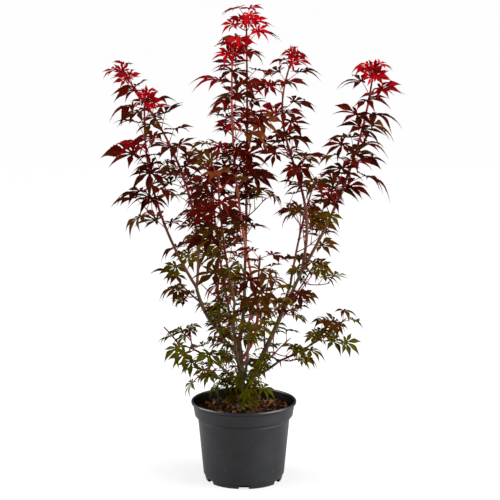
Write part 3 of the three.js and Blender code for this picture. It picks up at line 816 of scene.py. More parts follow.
# %% Leaves that catch the eye
SPOTS = [
    (14, 1142, 42, "scarlet"), (34, 1106, 40, "scarlet"), (-24, 1120, 34, "scarlet"),
    (-204, 913, 40, "olive"), (41, 892, 60, "bronze"), (-63, 899, 52, "bronze"), (-12, 1084, 52, "bronze"),
    (-60, 829, 46, "crimson"), (52, 704, 44, "crimson"), (209, 661, 40, "olive"), (130, 779, 60, "burgundy"),
    (121, 656, 56, "burgundy"), (27, 757, 56, "burgundy"), (-34, 529, 44, "olive"), (130, 530, 40, "olive"),
    (135, 467, 44, "dark_plum"), (249, 345, 42, "green"), (229, 389, 34, "umber"), (177, 368, 36, "olive"),
    (-131, 376, 28, "dark_plum"), (-64, 1004, 54, "burgundy"), (114, 889, 50, None), (237, 834, 50, None),
    (-138, 560, 46, "olive"), (184, 534, 42, "olive"), (-165, 535, 42, "olive"), (-160, 478, 38, "umber"),
    (62, 975, 46, None), (-44, 780, 50, "dark_plum"), (36, 620, 46, None), (48, 840, 48, "dark_plum"),
    (76, 812, 46, None), (-52, 858, 44, None), (-14, 822, 46, None), (222, 690, 40, None),
    (179, 481, 40, "olive"), (150, 452, 40, "umber"), (-128, 298, 40, "green"), (-98, 276, 34, "olive"),
]
SPOT_TWIG, TWIG, SPUR = (1.4, 1.0), (1.5, 1.0), (1.2, 0.8)  # radii at foot and end
IN_FRONT = (14, 44)  # how far a spot hangs before its shoot
leaves = []
spurs = []


def nearest_shoot(x, z):
    """The shoot that passes closest to a spot as the eye sees them, and the share where it does."""
    best = None
    for mass in masses:
        for share in np.linspace(0.05, 0.98, 40):
            seen_x, seen_z = seen_at(mass["line"].at(share))
            away = math.hypot(seen_x - x, seen_z - z)
            if best is None or away < best[0]:
                best = (away, mass, share)
    return best


roll = dice(4000)
for x, z, size, tone in SPOTS:
    away, mass, share = nearest_shoot(x, z)
    line = mass["line"]
    start = line.at(max(0, share - 0.5 * away / line.length))
    depth = start[1] - lerp(*IN_FRONT, roll())
    further = (depth - EYE[1]) / -EYE[1]
    spot = np.array([EYE[0] + (x - EYE[0]) * further, depth, EYE[2] + (z - EYE[2]) * further])
    twig_end = start + (spot - start) * 0.5
    stalk = unit(spot - start)
    normal = unit(0.3 * stalk + lerp(0.7, 1.1, roll()) * UP + TO_LIGHT)
    ahead = square_to(normal, np.array([stalk[0], stalk[1], -0.2]))
    star = dict(root=twig_end, centre=spot, ahead=ahead, normal=normal, size=size,
                droop=lerp(0.1, 0.3, roll()), young=False)
    if standing.fits(star, mass["name"]):
        leaves.append(dict(star, mass=mass, share=share, tone=tone))
        spurs.append(dict(line=Line(start, twig_end, bow=(0, 0, -2)), mass=mass, radii=SPOT_TWIG))
print(len(leaves), "leaves that catch the eye")


# %% Grow the masses
def grow(mass, hang_twig, hang_leaf):
    """The rule that every mass grows by."""
    roll = dice(mass["seed"])

    def sprout(line, bare, kind, size):
        pairs = max(2, math.floor(line.length * (1 - bare) / INTERNODE[kind] + 0.5))
        turn = roll() * math.pi
        for i in range(pairs):
            for half in (0, 1):
                share = lerp(bare, 1, (i + 0.7) / pairs) + (half - 0.5) * PAIR_STEP / line.length
                around = turn + (i / 2 + half) * math.pi + lerp(-0.3, 0.3, roll())
                rolls = [roll() for _ in range(5)]
                wants_twig = roll() < mass["twiggy"] and kind == "shoot" and share < TWIG_HIGHEST
                leaf_size = size * (1 - 0.25 * share**8) * lerp(0.85, 1.15, roll())
                if wants_twig:
                    twig = twig_plan(line, share, around, rolls)
                    if hang_twig(twig):
                        sprout(twig, TWIG_BARE, "twig", size * TWIG_LEAF)
                    continue
                for shrink in SIZES_TRIED:
                    small = leaf_size * shrink
                    plans = (leaf_plan(line, share, around + turn_by, small, mass["young"], rolls)
                             for turn_by in TURNS_TRIED)
                    if any(hang_leaf(leaf, share) for leaf in plans):
                        break

    sprout(mass["line"], mass["bare"], "young" if mass["young"] else "shoot", mass["leaf"])


def neighbours(mass):
    """Points along the mass's own line, and along those of the other shoots."""
    others = [other["line"].samples(25) for other in masses if other["shoot"] != mass["shoot"]]
    return mass["line"].samples(25), others


twigs = []
for mass in masses:
    own_line, other_lines = neighbours(mass)

    def hang_twig(twig):
        points = [twig.at(s) for s in (0.3, 0.5, 0.7, 0.85, 1)]
        if standing.too_near_a_stem(points, mass["name"]):
            return False
        twigs.append(dict(line=twig, mass=mass, radii=TWIG))
        return True

    def hang_leaf(leaf, share):
        if not keeps_to_its_space(leaf, own_line, other_lines) or not standing.fits(leaf, mass["name"]):
            return False
        leaves.append(dict(leaf, mass=mass, share=share))
        return True

    grow(mass, hang_twig, hang_leaf)
print(len(leaves), "leaves and", len(twigs), "twigs by the frame's rule")

# %% [markdown]
# A real plant also breaks finer spurs from its older wood, each with a pair or two of smaller leaves. They
# fill the inside of the crown and hide its foot without making it reach any further. They sit close on the
# low wood and thin out towards the light.

# %% Finer spurs
SPUR_PAIRS = (0.55, 0.98)


def add_spurs(line, owner, mass, roll, spacing, ends, reach, leaf_size, chance=1.0, own=None, others=()):
    """Spurs along a stretch of a line. They keep clear of all that hangs already."""
    low, high = ends
    count = int(line.length * (high - low) / spacing)
    for i in range(count):
        share = lerp(low, high, (i + roll()) / count)
        around = roll() * 2 * math.pi
        rolls = [roll() for _ in range(5)]
        if roll() > chance:
            continue
        start = line.at(share)
        way = leaning_way(line, share, around, lerp(0.8, 1.25, rolls[0]))
        spur = Line(start, start + way * reach * lerp(0.5, 1.15, rolls[1]), bow=(0, 0, -2))
        if standing.too_near_a_stem([spur.at(0.7), spur.at(1)], owner):
            continue
        hung = 0
        for pair_share in SPUR_PAIRS:
            turn = roll() * math.pi
            for half in (0, 1):
                rolls = [roll() for _ in range(5)]
                size = leaf_size * lerp(0.8, 1.15, roll())
                for turn_by in TURNS_TRIED:
                    leaf = leaf_plan(spur, pair_share, turn + half * math.pi + turn_by, size, False, rolls)
                    free = own is None or keeps_to_its_space(leaf, own, others)
                    if free and standing.fits(leaf, owner):
                        leaves.append(dict(leaf, mass=mass, share=share))
                        hung += 1
                        break
        if hung:
            spurs.append(dict(line=spur, mass=mass, radii=SPUR))


wood_mass = dict(shoot="wood", name="wood", tall=False, young=False)
LIMB_SPURS = [  # limb, spacing, stretch of the limb, reach, leaf
    ("trunk", 11, (0.02, 0.4), 42, 24), ("trunk", 44, (0.4, 1.0), 42, 28),
    ("right_bough", 17, (0.0, 0.3), 38, 25), ("right_bough", 44, (0.3, 0.8), 40, 29),
    ("left_bough", 44, (0.05, 0.9), 40, 31), ("back_bough", 40, (0.1, 1), 44, 33),
    ("centre_bough", 70, (0.1, 1), 42, 30), ("back_left_bough", 36, (0.15, 1), 46, 34),
    ("front_left_bough", 40, (0.15, 1), 46, 32), ("back_right_bough", 36, (0.15, 1), 46, 34),
    ("front_bough", 46, (0.15, 1), 42, 30), ("low_left_bough", 16, (0.2, 1), 36, 28),
    ("low_right_bough", 70, (0.2, 1), 30, 30), ("low_back_bough", 22, (0.2, 1), 40, 30),
]
for seed, (name, spacing, ends, reach, leaf_size) in enumerate(LIMB_SPURS):
    add_spurs(limb_lines[name], name, wood_mass, dice(900 + seed), spacing, ends, reach, leaf_size)
print(len(leaves), "leaves and", len(spurs), "spurs after the limbs")

# %% [markdown]
# The shoots get spurs too, but only by chance. Each shoot is cut in three stretches, low, middle and high,
# and each stretch has its own chance.

# %% Spurs on the shoots
STRETCHES = (0.04, 0.35, 0.65, 0.92)
USUAL_CHANCES = (0.2, 0.1, 0)
CHANCES = {
    "left_upright": (0, 0.1, 0), "left_outer": (0.2, 0, 0), "crown_leader": (0.1, 0.2, 0),
    "front_leader": (0.1, 0.1, 0.1), "right_inner": (0.1, 0.1, 0), "right_outer": (0, 0, 0),
    "low_right": (0, 0.1, 0), "low_left": (0.6, 0.5, 0.2), "right_side": (0, 0, 0), "left_side": (0.1, 0, 0),
}
SPACING, REACH, SPUR_LEAF = 26, 46, 0.62
for mass in masses:
    if mass["young"]:
        continue
    own_line, other_lines = neighbours(mass)
    chances = CHANCES.get(mass["shoot"], USUAL_CHANCES)
    for low, high, chance in zip(STRETCHES, STRETCHES[1:], chances):
        low = max(low, mass["bare"])
        roll = dice(mass["seed"] + 5000 + int(low * 100))
        add_spurs(mass["line"], mass["name"], mass, roll, SPACING, (low, high), REACH,
                  mass["leaf"] * SPUR_LEAF, chance, own_line, other_lines)
print(len(leaves), "leaves and", len(spurs), "spurs on the shoots")

# %% [markdown]
# The end of each leader carries the newest leaves, in two small pairs on short stalks. They spread like open
# hands and turn their faces up and to the light. The topmost shoot has its own bright star instead of the
# last pair.

# %% The newest leaves
NEWEST_PAIRS = ((0.97, 0.6, 26), (0.66, 1.1, 38))  # place on the tip, lean, size
for mass in masses:
    if not mass["young"]:
        continue
    roll = dice(mass["seed"] + 9000)
    at_the_top = mass["shoot"] == "crown_leader"
    turn = math.pi / 2 if at_the_top else roll() * math.pi
    for pair, (share, lean, size) in enumerate(NEWEST_PAIRS):
        if at_the_top and pair == 0:
            continue
        for half in (0, 1):
            around = turn + (pair / 2 + half) * math.pi + lerp(-0.4, 0.4, roll())
            stalk = leaning_way(mass["line"], share, around, lean)
            ahead = unit(stalk - 0.1 * UP)
            normal = square_to(ahead, 0.6 * np.array([stalk[0], stalk[1], 0.0]) + 0.7 * UP + TO_LIGHT)
            root = mass["line"].at(share)
            centre = root + stalk * lerp(6, 10, roll())
            leaves.append(dict(
                root=root, centre=centre, ahead=ahead, normal=normal, young=True, mass=mass, share=share,
                size=size * lerp(0.85, 1.15, roll()), droop=lerp(0.0, 0.2, roll())))
print(len(leaves), "leaves with the newest")

# %% [markdown]
# ## Trunk and boughs
#
# Where a bough leaves the trunk the bark runs from one to the other without a seam. Separate tubes would
# show a hard line there, so the tubes are drawn as one curve object with many splines, made a mesh, and
# fused by a voxel remesh. A smoothing pass then rounds the forks. The foot spreads into a low root flare.

# %% Draw the limbs as tubes
def draw_tubes(name, tubes, sides_setting):
    """One mesh of closed round tubes. Each tube is a list of (place, radius) pairs in millimetres."""
    clear_selection()
    bpy.ops.curve.primitive_nurbs_path_add(location=(0, 0, 0))
    path = bpy.context.object
    path.data.splines.clear()
    path.data.dimensions = "3D"
    path.data.bevel_depth = 1.0
    path.data.bevel_resolution = sides_setting
    path.data.use_fill_caps = True
    for tube in tubes:
        spline = path.data.splines.new("POLY")
        spline.points.add(len(tube) - 1)
        for point, (place, thickness) in zip(spline.points, tube):
            point.co = (*(np.asarray(place) * MM), 1)
            point.radius = thickness * MM
    bpy.ops.object.convert(target="MESH")
    return settle(bpy.context.object, name)


def swelling(share, joints, length, rise=0.22, width=3.0):
    """How much thicker a stem is near its joints."""
    return 1 + rise * sum(math.exp(-(((share - joint) * length / width) ** 2)) for joint in joints)


FLARE, TRUNK_THICKNESS = 0.75, 0.84
BOUGH_THICKNESS = {"right_bough": 1.0, "front_bough": 1.0, "left_bough": 1.18}
USUAL_THICKNESS = 1.1
ROSY_BOUGH = "centre_bough"
limb_tubes = []
for name, line in limb_lines.items():
    if name == ROSY_BOUGH:
        continue
    tube = []
    for share in np.linspace(0, 1, 40):
        thickness = lerp(*limb_radii[name], share) * swelling(share, (0.3, 0.55, 0.8), line.length, 0.1, 6)
        if name == "trunk":
            thickness *= TRUNK_THICKNESS * (1 + FLARE * math.exp(-9 * share))
        else:
            thickness *= BOUGH_THICKNESS.get(name, USUAL_THICKNESS)
        tube.append((line.at(share), thickness))
    limb_tubes.append(tube)
wood = draw_tubes("trunk_and_boughs", limb_tubes, 5)
modify(wood, "REMESH", "fuse the forks", mode="VOXEL", voxel_size=1.15 * MM)
modify(wood, "SMOOTH", "round the forks", factor=0.5, iterations=5)
print("fused wood:", len(wood.data.polygons), "faces")

# %% [markdown]
# The bark of a young maple is smooth, with shallow grooves along it, low rings where old buds were, and
# corky spots. Relief that deep is real shape, so it is pushed into the mesh along its normals. Noise that is
# squeezed in height gives grooves that run up the stems.

# %% Bark relief
places = positions(wood)
normals = np.empty(len(places) * 3)
wood.data.vertices.foreach_get("normal", normals)
normals = normals.reshape(-1, 3)
relief = np.empty(len(places))
for i, place in enumerate(places / MM):
    x, y, z = place
    grooves = noise.noise(Vector((x / 2.6, y / 2.6, z / 26)))
    corky = max(0.0, noise.noise(Vector((x / 2.2 + 40, y / 2.2, z / 2.2))) - 0.32)
    rings = max(0.0, math.sin(z / 3.1 + 2.2 * noise.noise(Vector((x / 9, y / 9, z / 30))))) ** 6
    relief[i] = 0.34 * grooves + 0.8 * corky + 0.16 * rings
sturdy = np.clip((0.62 - places[:, 2]) / 0.35, 0.35, 1)
places = places + normals * (relief * sturdy * MM)[:, None]
move_vertices(wood, places)
print("relief from", round(relief.min(), 2), "to", round(relief.max(), 2), "mm")

# %% Bark finish
bark = finish("maple bark", (0.150, 0.078, 0.052), (0.066, 0.034, 0.022),
              mottle=(210, 0.16, 0.5, 0.16), grain=(1300, 0.3), rough=(0.6, 0.85), bump=0.5, depth=0.5)
algae = placed_mottle(bark, (26, 0.5, 0.5, 0.14), Marks=(0.092, 0.070, 0.036))
recolour(bark, algae, "Base", "Color")
smooth_over(wood, bark)
hand_over(wood, [name for name in LIMBS if name != ROSY_BOUGH])

# %% [markdown]
# ## Shoots and twigs
#
# This year's and last year's shoots are slender, round and jointed, with a faint collar at each pair of
# leaves. They are drawn as tubes too, but there are too many to fuse, so each is simply sunk into what
# carries it. Young bark turns crimson in the sun, so they come in two finishes, brown-red below and crimson
# above, and the leader in front has a rosy one. A bare stub at the low left is left from pruning.

# %% Draw shoots and twigs
TALL_RADII, LOW_RADII = (3.3, 2.0), (2.5, 1.3)
TURNS_CRIMSON = 0.34
CRIMSON_THROUGHOUT = ("front_leader", "low_right", "low_left")
SUNNY_FROM = 560
PRUNED_TIP = (-191, -95, 404)


def shoot_tube(line, low_radius, high_radius, joints, steps):
    return [(line.at(s), lerp(low_radius, high_radius, s) * swelling(s, joints, line.length, 0.28, 1.8))
            for s in np.linspace(0, 1, steps)]


crimson_tubes, brown_tubes, rosy_tubes = [], [], []
whole_lines = {mass["shoot"]: mass["whole"] for mass in masses}
for shoot, (parent, place, tip, *_) in MASSES.items():
    whole, at_a_tip = whole_lines[shoot], place == 1
    low_radius, tip_radius = TALL_RADII if tip[2] > TALL_FROM else LOW_RADII
    if at_a_tip:
        low_radius = limb_radii[parent][1] * 1.08
    joints = sorted({round(leaf["share"], 2) for leaf in leaves
                     if leaf["mass"]["shoot"] == shoot and not leaf["mass"]["young"]})
    turning = 0.0 if shoot in CRIMSON_THROUGHOUT else TURNS_CRIMSON
    middle_radius = lerp(low_radius, tip_radius, turning)
    if turning:
        brown_tubes.append(shoot_tube(whole.stretch(0, turning + 0.01), low_radius, middle_radius,
                                      [j / turning for j in joints if j < turning], 40))
    upper = [(j - turning) / (1 - turning) for j in joints if j >= turning]
    (rosy_tubes if parent == ROSY_BOUGH and at_a_tip else crimson_tubes).append(
        shoot_tube(whole.stretch(turning, 1), middle_radius, tip_radius, upper, 90))
rosy_tubes.append(shoot_tube(limb_lines[ROSY_BOUGH], 4.4, 3.5, [0.3, 0.7], 30))
for twig in twigs + spurs:
    sunny = twig["mass"]["tall"] and twig["line"].at(1)[2] > SUNNY_FROM
    tube = shoot_tube(twig["line"], *twig["radii"], [0.6, 0.98], 10)
    (crimson_tubes if sunny else brown_tubes).append(tube)
pruned = Line(whole_lines["low_left"].at(0.97), PRUNED_TIP, bow=(4, 0, -2))
crimson_tubes.append(shoot_tube(pruned, 1.7, 1.6, [0.45], 14))
print(len(crimson_tubes), "crimson,", len(brown_tubes), "brown and", len(rosy_tubes), "rosy tubes")

# %% Young bark
crimson_bark = finish("crimson young bark", (0.125, 0.016, 0.018), (0.070, 0.014, 0.013),
                      mottle=(120, 0.3, 0.4, 0.15), grain=(1400, 0.4), rough=(0.4, 0.6), bump=0.3, depth=0.2,
                      shine=0.05)
brown_bark = finish("brown young bark", (0.125, 0.046, 0.030), (0.072, 0.034, 0.020),
                    mottle=(120, 0.3, 0.5, 0.15), grain=(1400, 0.4), rough=(0.5, 0.7), bump=0.35, depth=0.25)
rosy_bark = finish("rosy young bark", (0.330, 0.048, 0.050), (0.260, 0.070, 0.036),
                   mottle=(60, 0.3, 0.5, 0.2), grain=(1400, 0.4), rough=(0.45, 0.65), bump=0.3, depth=0.2)
mass_nodes = [mass["name"] for mass in masses]
rosy_nodes = [ROSY_BOUGH] + [mass["name"] for mass in masses if mass["shoot"] == "front_leader"]
for name, tubes, material, nodes in (
        ("crimson_shoots", crimson_tubes, crimson_bark, mass_nodes),
        ("brown_shoots", brown_tubes, brown_bark, mass_nodes),
        ("rosy_shoots", rosy_tubes, rosy_bark, rosy_nodes)):
    piece = draw_tubes(name, tubes, 2)
    smooth_over(piece, material)
    hand_over(piece, nodes)

# %% [markdown]
# ## The leaf
#
# A maple leaf has five long lobes and two small ones at its heel, cut nearly to the middle. Each lobe is
# narrow at its foot, widest half way along, folded a little along its rib, toothed at its margin, and drawn
# out to a fine tip. The blade is built flat, lobe by lobe, as strips between a few points of the rib and the
# toothed margin. A leaf is so thin that one skin is enough, and its finish knows the underside by itself.

# %% The blade, flat
LOBES = [(0, 1.00), (40, 0.94), (-40, 0.94), (80, 0.74), (-80, 0.74), (126, 0.38), (-126, 0.38)]
SINUS = 0.13
DRAWN_OUT = 1.08
FOLD = 0.45
LONG_STRIPS = [
    (0.29, [(0.21, 0.038), (0.32, 0.078)]),
    (0.47, [(0.335, 0.070), (0.42, 0.112), (0.435, 0.098), (0.51, 0.126)]),
    (0.65, [(0.525, 0.112), (0.60, 0.116), (0.615, 0.098), (0.70, 0.088)]),
    (0.84, [(0.715, 0.073), (0.81, 0.052), (0.91, 0.027)]),
]
SHORT_STRIPS = [(0.60, [(0.50, 0.12), (0.72, 0.11)])]


def flat_blade(widen=1.0):
    """Vertices (ahead, left, up), their lobe, and the faces of one leaf that is one unit long."""
    points, lobe_of, on_rib, faces = [(0.0, 0.0, 0.0)], [-1], [1.0], []

    def put(ahead, left, turn, up, lobe):
        points.append((ahead * math.cos(turn) - left * math.sin(turn),
                       ahead * math.sin(turn) + left * math.cos(turn), up))
        lobe_of.append(lobe)
        on_rib.append(float(lobe >= 0 and left == 0))
        return len(points) - 1

    round_the_leaf = sorted(range(len(LOBES)), key=lambda lobe: LOBES[lobe][0])
    notch_after = {}
    for place, lobe in enumerate(round_the_leaf):
        here, there = LOBES[lobe][0], LOBES[round_the_leaf[(place + 1) % len(LOBES)]][0]
        at_the_heel = there < here
        between = math.radians((here + there + (360 if at_the_heel else 0)) / 2)
        notch_after[lobe] = put(0.06 if at_the_heel else SINUS, 0, between, 0.01, -1)
    for place, lobe in enumerate(round_the_leaf):
        angle, length = LOBES[lobe]
        turn = math.radians(angle)
        strips = LONG_STRIPS if length > 0.5 else SHORT_STRIPS
        breadth = length**0.6 * widen
        ribs = [put(length * v, 0, turn, 0, lobe) for v, _ in strips]
        tip = put(length * DRAWN_OUT, 0, turn, 0, lobe)
        for sign, notch in ((1, notch_after[lobe]), (-1, notch_after[round_the_leaf[place - 1]])):
            spine, last = 0, notch
            for rib, (_, margin) in zip(ribs, strips):
                edge = [put(length * v, sign * w * breadth, turn, w * breadth * FOLD, lobe)
                        for v, w in margin]
                face = [spine, rib] + edge[::-1] + [last]
                faces.append(face if sign > 0 else face[::-1])
                spine, last = rib, edge[-1]
            face = [spine, tip, last]
            faces.append(face if sign > 0 else face[::-1])
    return np.array(points), np.array(lobe_of), faces, on_rib


BLADE = flat_blade(widen=1.05)
SMALL_BLADE = flat_blade(widen=1.2)
SMALL = 45
print("a leaf has", len(BLADE[0]), "vertices and", len(BLADE[2]), "faces")

# %% [markdown]
# Each leaf then bends that flat blade its own way: lobes a little longer or shorter, swung a few degrees,
# and hanging by more or less, with a slight twist. That is done with arrays, because there are hundreds.

# %% Bend a blade into its place
GROWN = 1.04
TIP_SAG = 0.35
VARIETY = (0.06, 0.06, 0.08, 0.32)  # of swing, length, hang and twist


def bent_blade(leaf, blade, rng):
    """The vertices of one leaf in millimetres."""
    points, lobe_of = blade[0].copy(), blade[1]
    droop = leaf["droop"]
    for lobe in range(-1, len(LOBES)):
        mine = lobe_of == lobe
        x, y, z = points[mine].T
        out = np.hypot(x, y)
        free = np.clip((out - 0.2) / 0.3, 0, 1) if lobe >= 0 else out * 0
        swing, longer, hang, twist = rng.normal(0, VARIETY)
        turn, stretch = swing * free, 1 + longer * free
        reach = out * stretch
        sag = arch(droop + hang * free, reach) - TIP_SAG * np.clip(reach - 0.55, 0, 1) ** 2
        shorten = 1 - 0.12 * np.clip(reach - 0.4, 0, 1)
        if lobe >= 0:
            angle = math.radians(LOBES[lobe][0])
            sag += (y * math.cos(angle) - x * math.sin(angle)) * math.tan(twist) * free
        points[mine] = np.column_stack([
            (x * np.cos(turn) - y * np.sin(turn)) * stretch * shorten,
            (x * np.sin(turn) + y * np.cos(turn)) * stretch * shorten, z + sag])
    left = np.cross(leaf["normal"], leaf["ahead"])
    axes = np.array([leaf["ahead"], left, leaf["normal"]])
    return leaf["centre"] + points @ axes * leaf["size"] * (1.0 if leaf["young"] else GROWN)


# %% [markdown]
# ## Colours of the crown
#
# Sun makes the red. Unfolding leaves at the tips are scarlet, those below them crimson, and the body of the
# crown a brownish burgundy. Inside and near the ground, where little light comes, the leaves stay olive or
# green. The colours are dealt out leaf by leaf with dice, weighted by how high and how far out a leaf hangs,
# so each colour is a joined piece with its own plain finish.

# %% Deal out the colours
LEAF_TONES = {
    "scarlet": ((0.330, 0.0015, 0.005), (0.165, 0.001, 0.003)),
    "crimson": ((0.172, 0.002, 0.004), (0.086, 0.001, 0.002)),
    "burgundy": ((0.076, 0.0025, 0.001), (0.038, 0.005, 0.001)),
    "dark_plum": ((0.028, 0.002, 0.001), (0.043, 0.008, 0.002)),
    "bronze": ((0.112, 0.028, 0.006), (0.073, 0.013, 0.003)),
    "umber": ((0.040, 0.012, 0.001), (0.056, 0.023, 0.001)),
    "olive": ((0.067, 0.046, 0.001), (0.039, 0.022, 0.001)),
    "green": ((0.049, 0.049, 0.001), (0.026, 0.025, 0.001)),
}
TONES_BY_HEIGHT = [
    (330, "green green olive green olive green dark_plum olive green green"),
    (440, "green olive olive green green umber dark_plum olive umber green"),
    (560, "olive olive dark_plum umber umber dark_plum umber olive umber umber"),
    (680, "umber umber olive umber dark_plum umber burgundy burgundy dark_plum umber"),
    (830, "dark_plum umber dark_plum burgundy dark_plum burgundy dark_plum umber burgundy umber"),
    (950, "dark_plum dark_plum burgundy burgundy burgundy dark_plum crimson dark_plum bronze umber"),
    (9999, "burgundy burgundy burgundy crimson dark_plum dark_plum burgundy dark_plum bronze dark_plum"),
]
SHADED_TONES = {
    "low_right": "olive umber green olive umber olive green olive",
    "low_left": "green olive green olive umber green olive green",
    "left_side": "umber olive dark_plum umber olive umber",
}
DULL_TIPS = {"right_inner": 1.0, "left_outer": 0.6}
BRIGHT_SHARE, DULL_SHARE = 0.85, 0.2
UPPERMOST, SUNLIT_FROM = 0.88, 900


def deal_tone(leaf, roll):
    """Picks a colour from a leaf's height, its place on the shoot and two throws."""
    throw, height = roll(), leaf["centre"][2] + lerp(-50, 50, roll())
    shoot = leaf["mass"]["shoot"]
    if leaf.get("tone"):
        return leaf["tone"]
    if leaf["mass"]["young"] and "tone" not in leaf:
        dull = leaf["share"] < DULL_TIPS.get(shoot, 0)
        return "scarlet" if throw < (DULL_SHARE if dull else BRIGHT_SHARE) else "crimson"
    if shoot in SHADED_TONES:
        tones = SHADED_TONES[shoot].split()
    elif leaf["share"] > UPPERMOST and height > SUNLIT_FROM:
        return "crimson" if throw < 0.4 else "burgundy" if throw < 0.8 else "dark_plum"
    else:
        tones = next(tones for limit, tones in TONES_BY_HEIGHT if height < limit).split()
    return tones[int(throw * len(tones))]


roll = dice(77)
for leaf in leaves:
    leaf["tone"] = deal_tone(leaf, roll)
print({tone: sum(leaf["tone"] == tone for leaf in leaves) for tone in LEAF_TONES})

# %% [markdown]
# The underside of a leaf is paler and duller than its face. The Backfacing output tells which side is seen,
# so a mix of the two colours is all it takes. The ribs are a shade lighter, partly the veins' own paler
# colour
# and partly a painted sheen: each vertex carries a number that is one on a rib and nought at the margin, and
# a thin lighter line is drawn where it nears one.

# %% Leaf finishes
UNDERSIDES = {
    "scarlet": (0.300, 0.003, 0.006), "crimson": (0.190, 0.006, 0.007),
    "olive": (0.098, 0.080, 0.005), "green": (0.090, 0.096, 0.006),
}
USUAL_UNDERSIDE = (0.088, 0.009, 0.003)
RIB_FROM, RIB_VEIN_AND_SHEEN = 0.78, 0.55


def mix_over(material, amount, over):
    """Mixes a colour over the base colour so far, by an amount that changes over the surface."""
    mix = material.node_tree.nodes.new("ShaderNodeMix")
    mix.data_type = "RGBA"
    mix.inputs["B"].default_value = (*over, 1)
    material.node_tree.links.new(amount, mix.inputs["Factor"])
    recolour(material, mix, "A", "Result")


def leaf_finish(name, base, marks, under):
    material = finish(name, base, marks, mottle=(70, 1, 0.45, 0.2), grain=(500, 1), rough=(0.5, 0.68),
                      bump=0.25, depth=0.3, shine=0.008)
    nodes, links = material.node_tree.nodes, material.node_tree.links
    mix_over(material, nodes.new("ShaderNodeNewGeometry").outputs["Backfacing"], under)
    # A lighter line along the ribs: partly the veins' own paler colour, partly painted sheen.
    nearness = nodes.new("ShaderNodeAttribute")
    nearness.attribute_name = "rib"
    line = nodes.new("ShaderNodeMapRange")
    line.inputs["From Min"].default_value = RIB_FROM
    line.inputs["To Max"].default_value = RIB_VEIN_AND_SHEEN
    links.new(nearness.outputs["Fac"], line.inputs["Value"])
    mix_over(material, line.outputs["Result"], [min(1, 1.7 * channel + 0.006) for channel in base])
    return material


# %% Make the leaves, one piece to each colour
rng = np.random.default_rng(31)
for tone, (base, marks) in LEAF_TONES.items():
    batch, nearness = Batch(), []
    for leaf in leaves:
        if leaf["tone"] == tone:
            blade = SMALL_BLADE if leaf["size"] < SMALL and not leaf["young"] else BLADE
            batch.add(bent_blade(leaf, blade, rng), blade[2])
            nearness += blade[3]
    blades = batch.piece(f"{tone}_leaves")
    blades.data.attributes.new("rib", "FLOAT", "POINT").data.foreach_set("value", nearness)
    under = UNDERSIDES.get(tone, USUAL_UNDERSIDE)
    blades.data.materials.append(leaf_finish(f"{tone} leaf", base, marks, under))
    hand_over(blades, mass_nodes)

# %% [markdown]
# ## Leaf stalks
#
# Each leaf hangs on a crimson stalk, a millimetre and a half thick, that swells a little where it joins the
# stem and arches over to the blade. Five-sided tubes are enough, and arrays make them all at once.

# %% Make the stalks
STALK_STEPS = 5
STALK_SIDES = 5
FULL_SIZE = 70
UNDER_THE_BLADE, STALK_ARCH = 0.25, 0.07
stalk_faces = []
for step in range(STALK_STEPS - 1):
    for corner in range(STALK_SIDES):
        a, b = (step * STALK_SIDES + turn % STALK_SIDES for turn in (corner, corner + 1))
        stalk_faces.append([b, a, a + STALK_SIDES, b + STALK_SIDES])
stalk_faces.append(list(range(STALK_SIDES)))
stalk_faces.append([(STALK_STEPS - 1) * STALK_SIDES + corner for corner in reversed(range(STALK_SIDES))])
batch = Batch()
for leaf in leaves:
    root, centre = leaf["root"], leaf["centre"] - leaf["normal"] * UNDER_THE_BLADE
    middle = (root + centre) / 2 + UP * np.linalg.norm(centre - root) * STALK_ARCH
    points = []
    for share in (step / (STALK_STEPS - 1) for step in range(STALK_STEPS)):
        place = root * (1 - share) ** 2 + middle * 2 * share * (1 - share) + centre * share**2
        side, other = across(unit((middle - root) * (1 - share) + (centre - middle) * share))
        thickness = 1.15 - 0.45 * share + 0.5 * math.exp(-share * 14)
        thickness *= lerp(0.75, 1, min(1, leaf["size"] / FULL_SIZE))
        for turn in (2 * math.pi * corner / STALK_SIDES for corner in range(STALK_SIDES)):
            points.append(place + (side * math.cos(turn) + other * math.sin(turn)) * thickness)
    batch.add(np.array(points), stalk_faces)
stalks = batch.piece("leaf_stalks")
pick(stalks)
edit_all()
bpy.ops.mesh.normals_make_consistent(inside=False)
bpy.ops.object.mode_set(mode="OBJECT")
stalks.data.materials.append(finish(
    "crimson stalk", (0.300, 0.020, 0.026), (0.170, 0.026, 0.022),
    mottle=(90, 1, 0.4, 0.2), grain=(1200, 1), rough=(0.35, 0.5), bump=0.15, depth=0.15))
hand_over(stalks, mass_nodes)

# %% [markdown]
# ## Light and floor
#
# The plant stands on a plain white floor in a white room. Two large soft lights, one to each side, shape the
# pot and the leaves, and a wide soft one from overhead draws the faint shadow on the floor. Floor and sky are
# brighter to the camera than as light on the plant: so they look white, and the dark leaves keep their depth.

# %% Floor, sky and lights
FLOOR_GLOW = dict(seen=0.742, cast=0.26)
SKY_GLOW = dict(seen=1.0, cast=0.15)
LEFT_POWER, RIGHT_POWER, OVERHEAD_POWER = 134, 196, 3.4


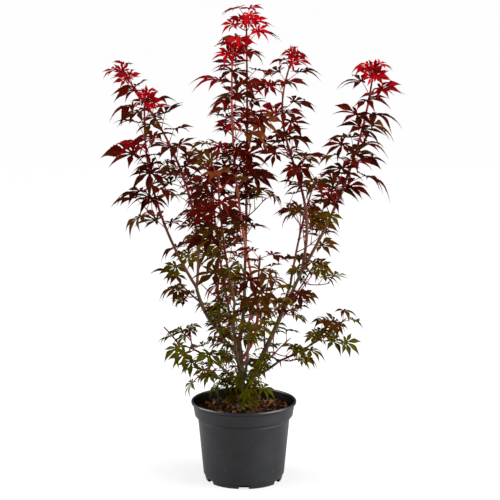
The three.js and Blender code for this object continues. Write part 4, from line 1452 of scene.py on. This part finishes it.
def seen_and_cast(shaded, seen, cast):
    """A strength that is one value to the camera and another as light on the plant."""
    nodes = shaded.node_tree.nodes
    ray = nodes.new("ShaderNodeLightPath")
    strength = nodes.new("ShaderNodeMapRange")
    strength.inputs["To Min"].default_value = cast
    strength.inputs["To Max"].default_value = seen
    shaded.node_tree.links.new(ray.outputs["Is Camera Ray"], strength.inputs["Value"])
    return strength.outputs["Result"]


clear_selection()
bpy.ops.mesh.primitive_plane_add(size=240, location=(0, 60, 0))
floor = bpy.context.object
floor.name = "floor"
white = bpy.data.materials.new("white floor")
white.use_nodes = True
paper = white.node_tree.nodes["Principled BSDF"]
paper.inputs["Base Color"].default_value = (0.20, 0.20, 0.20, 1)
paper.inputs["Emission Color"].default_value = (1, 1, 1, 1)
paper.inputs["Roughness"].default_value = 1
paper.inputs["Specular IOR Level"].default_value = 0
glow = seen_and_cast(white, **FLOOR_GLOW)
white.node_tree.links.new(glow, paper.inputs["Emission Strength"])
floor.data.materials.append(white)

world = bpy.data.worlds.new("white room")
bpy.context.scene.world = world
world.use_nodes = True
sky = world.node_tree.nodes["Background"]
sky.inputs["Color"].default_value = (1, 1, 1, 1)
world.node_tree.links.new(seen_and_cast(world, **SKY_GLOW), sky.inputs["Strength"])
bpy.context.scene.view_settings.view_transform = "Standard"


def soft_light(name, place, aim, size, power):
    """A square light that looks at a point of the plant."""
    towards = (Vector(aim) - Vector(place)).to_track_quat("-Z", "Y").to_euler()
    bpy.ops.object.light_add(type="AREA", location=place, rotation=towards)
    light = bpy.context.object
    light.name = name
    light.data.size = size
    light.data.energy = power


soft_light("left light", (-2.7, 0.0, 1.3), (0, 0, 0.4), 1.8, LEFT_POWER)
soft_light("right light", (2.7, -1.0, 1.2), (0, 0, 0.3), 2.4, RIGHT_POWER)
bpy.ops.object.light_add(type="SUN", rotation=(math.radians(3), math.radians(4), 0))
overhead = bpy.context.object
overhead.name = "overhead light"
overhead.data.energy = OVERHEAD_POWER
overhead.data.angle = math.radians(28)
print("lights set")
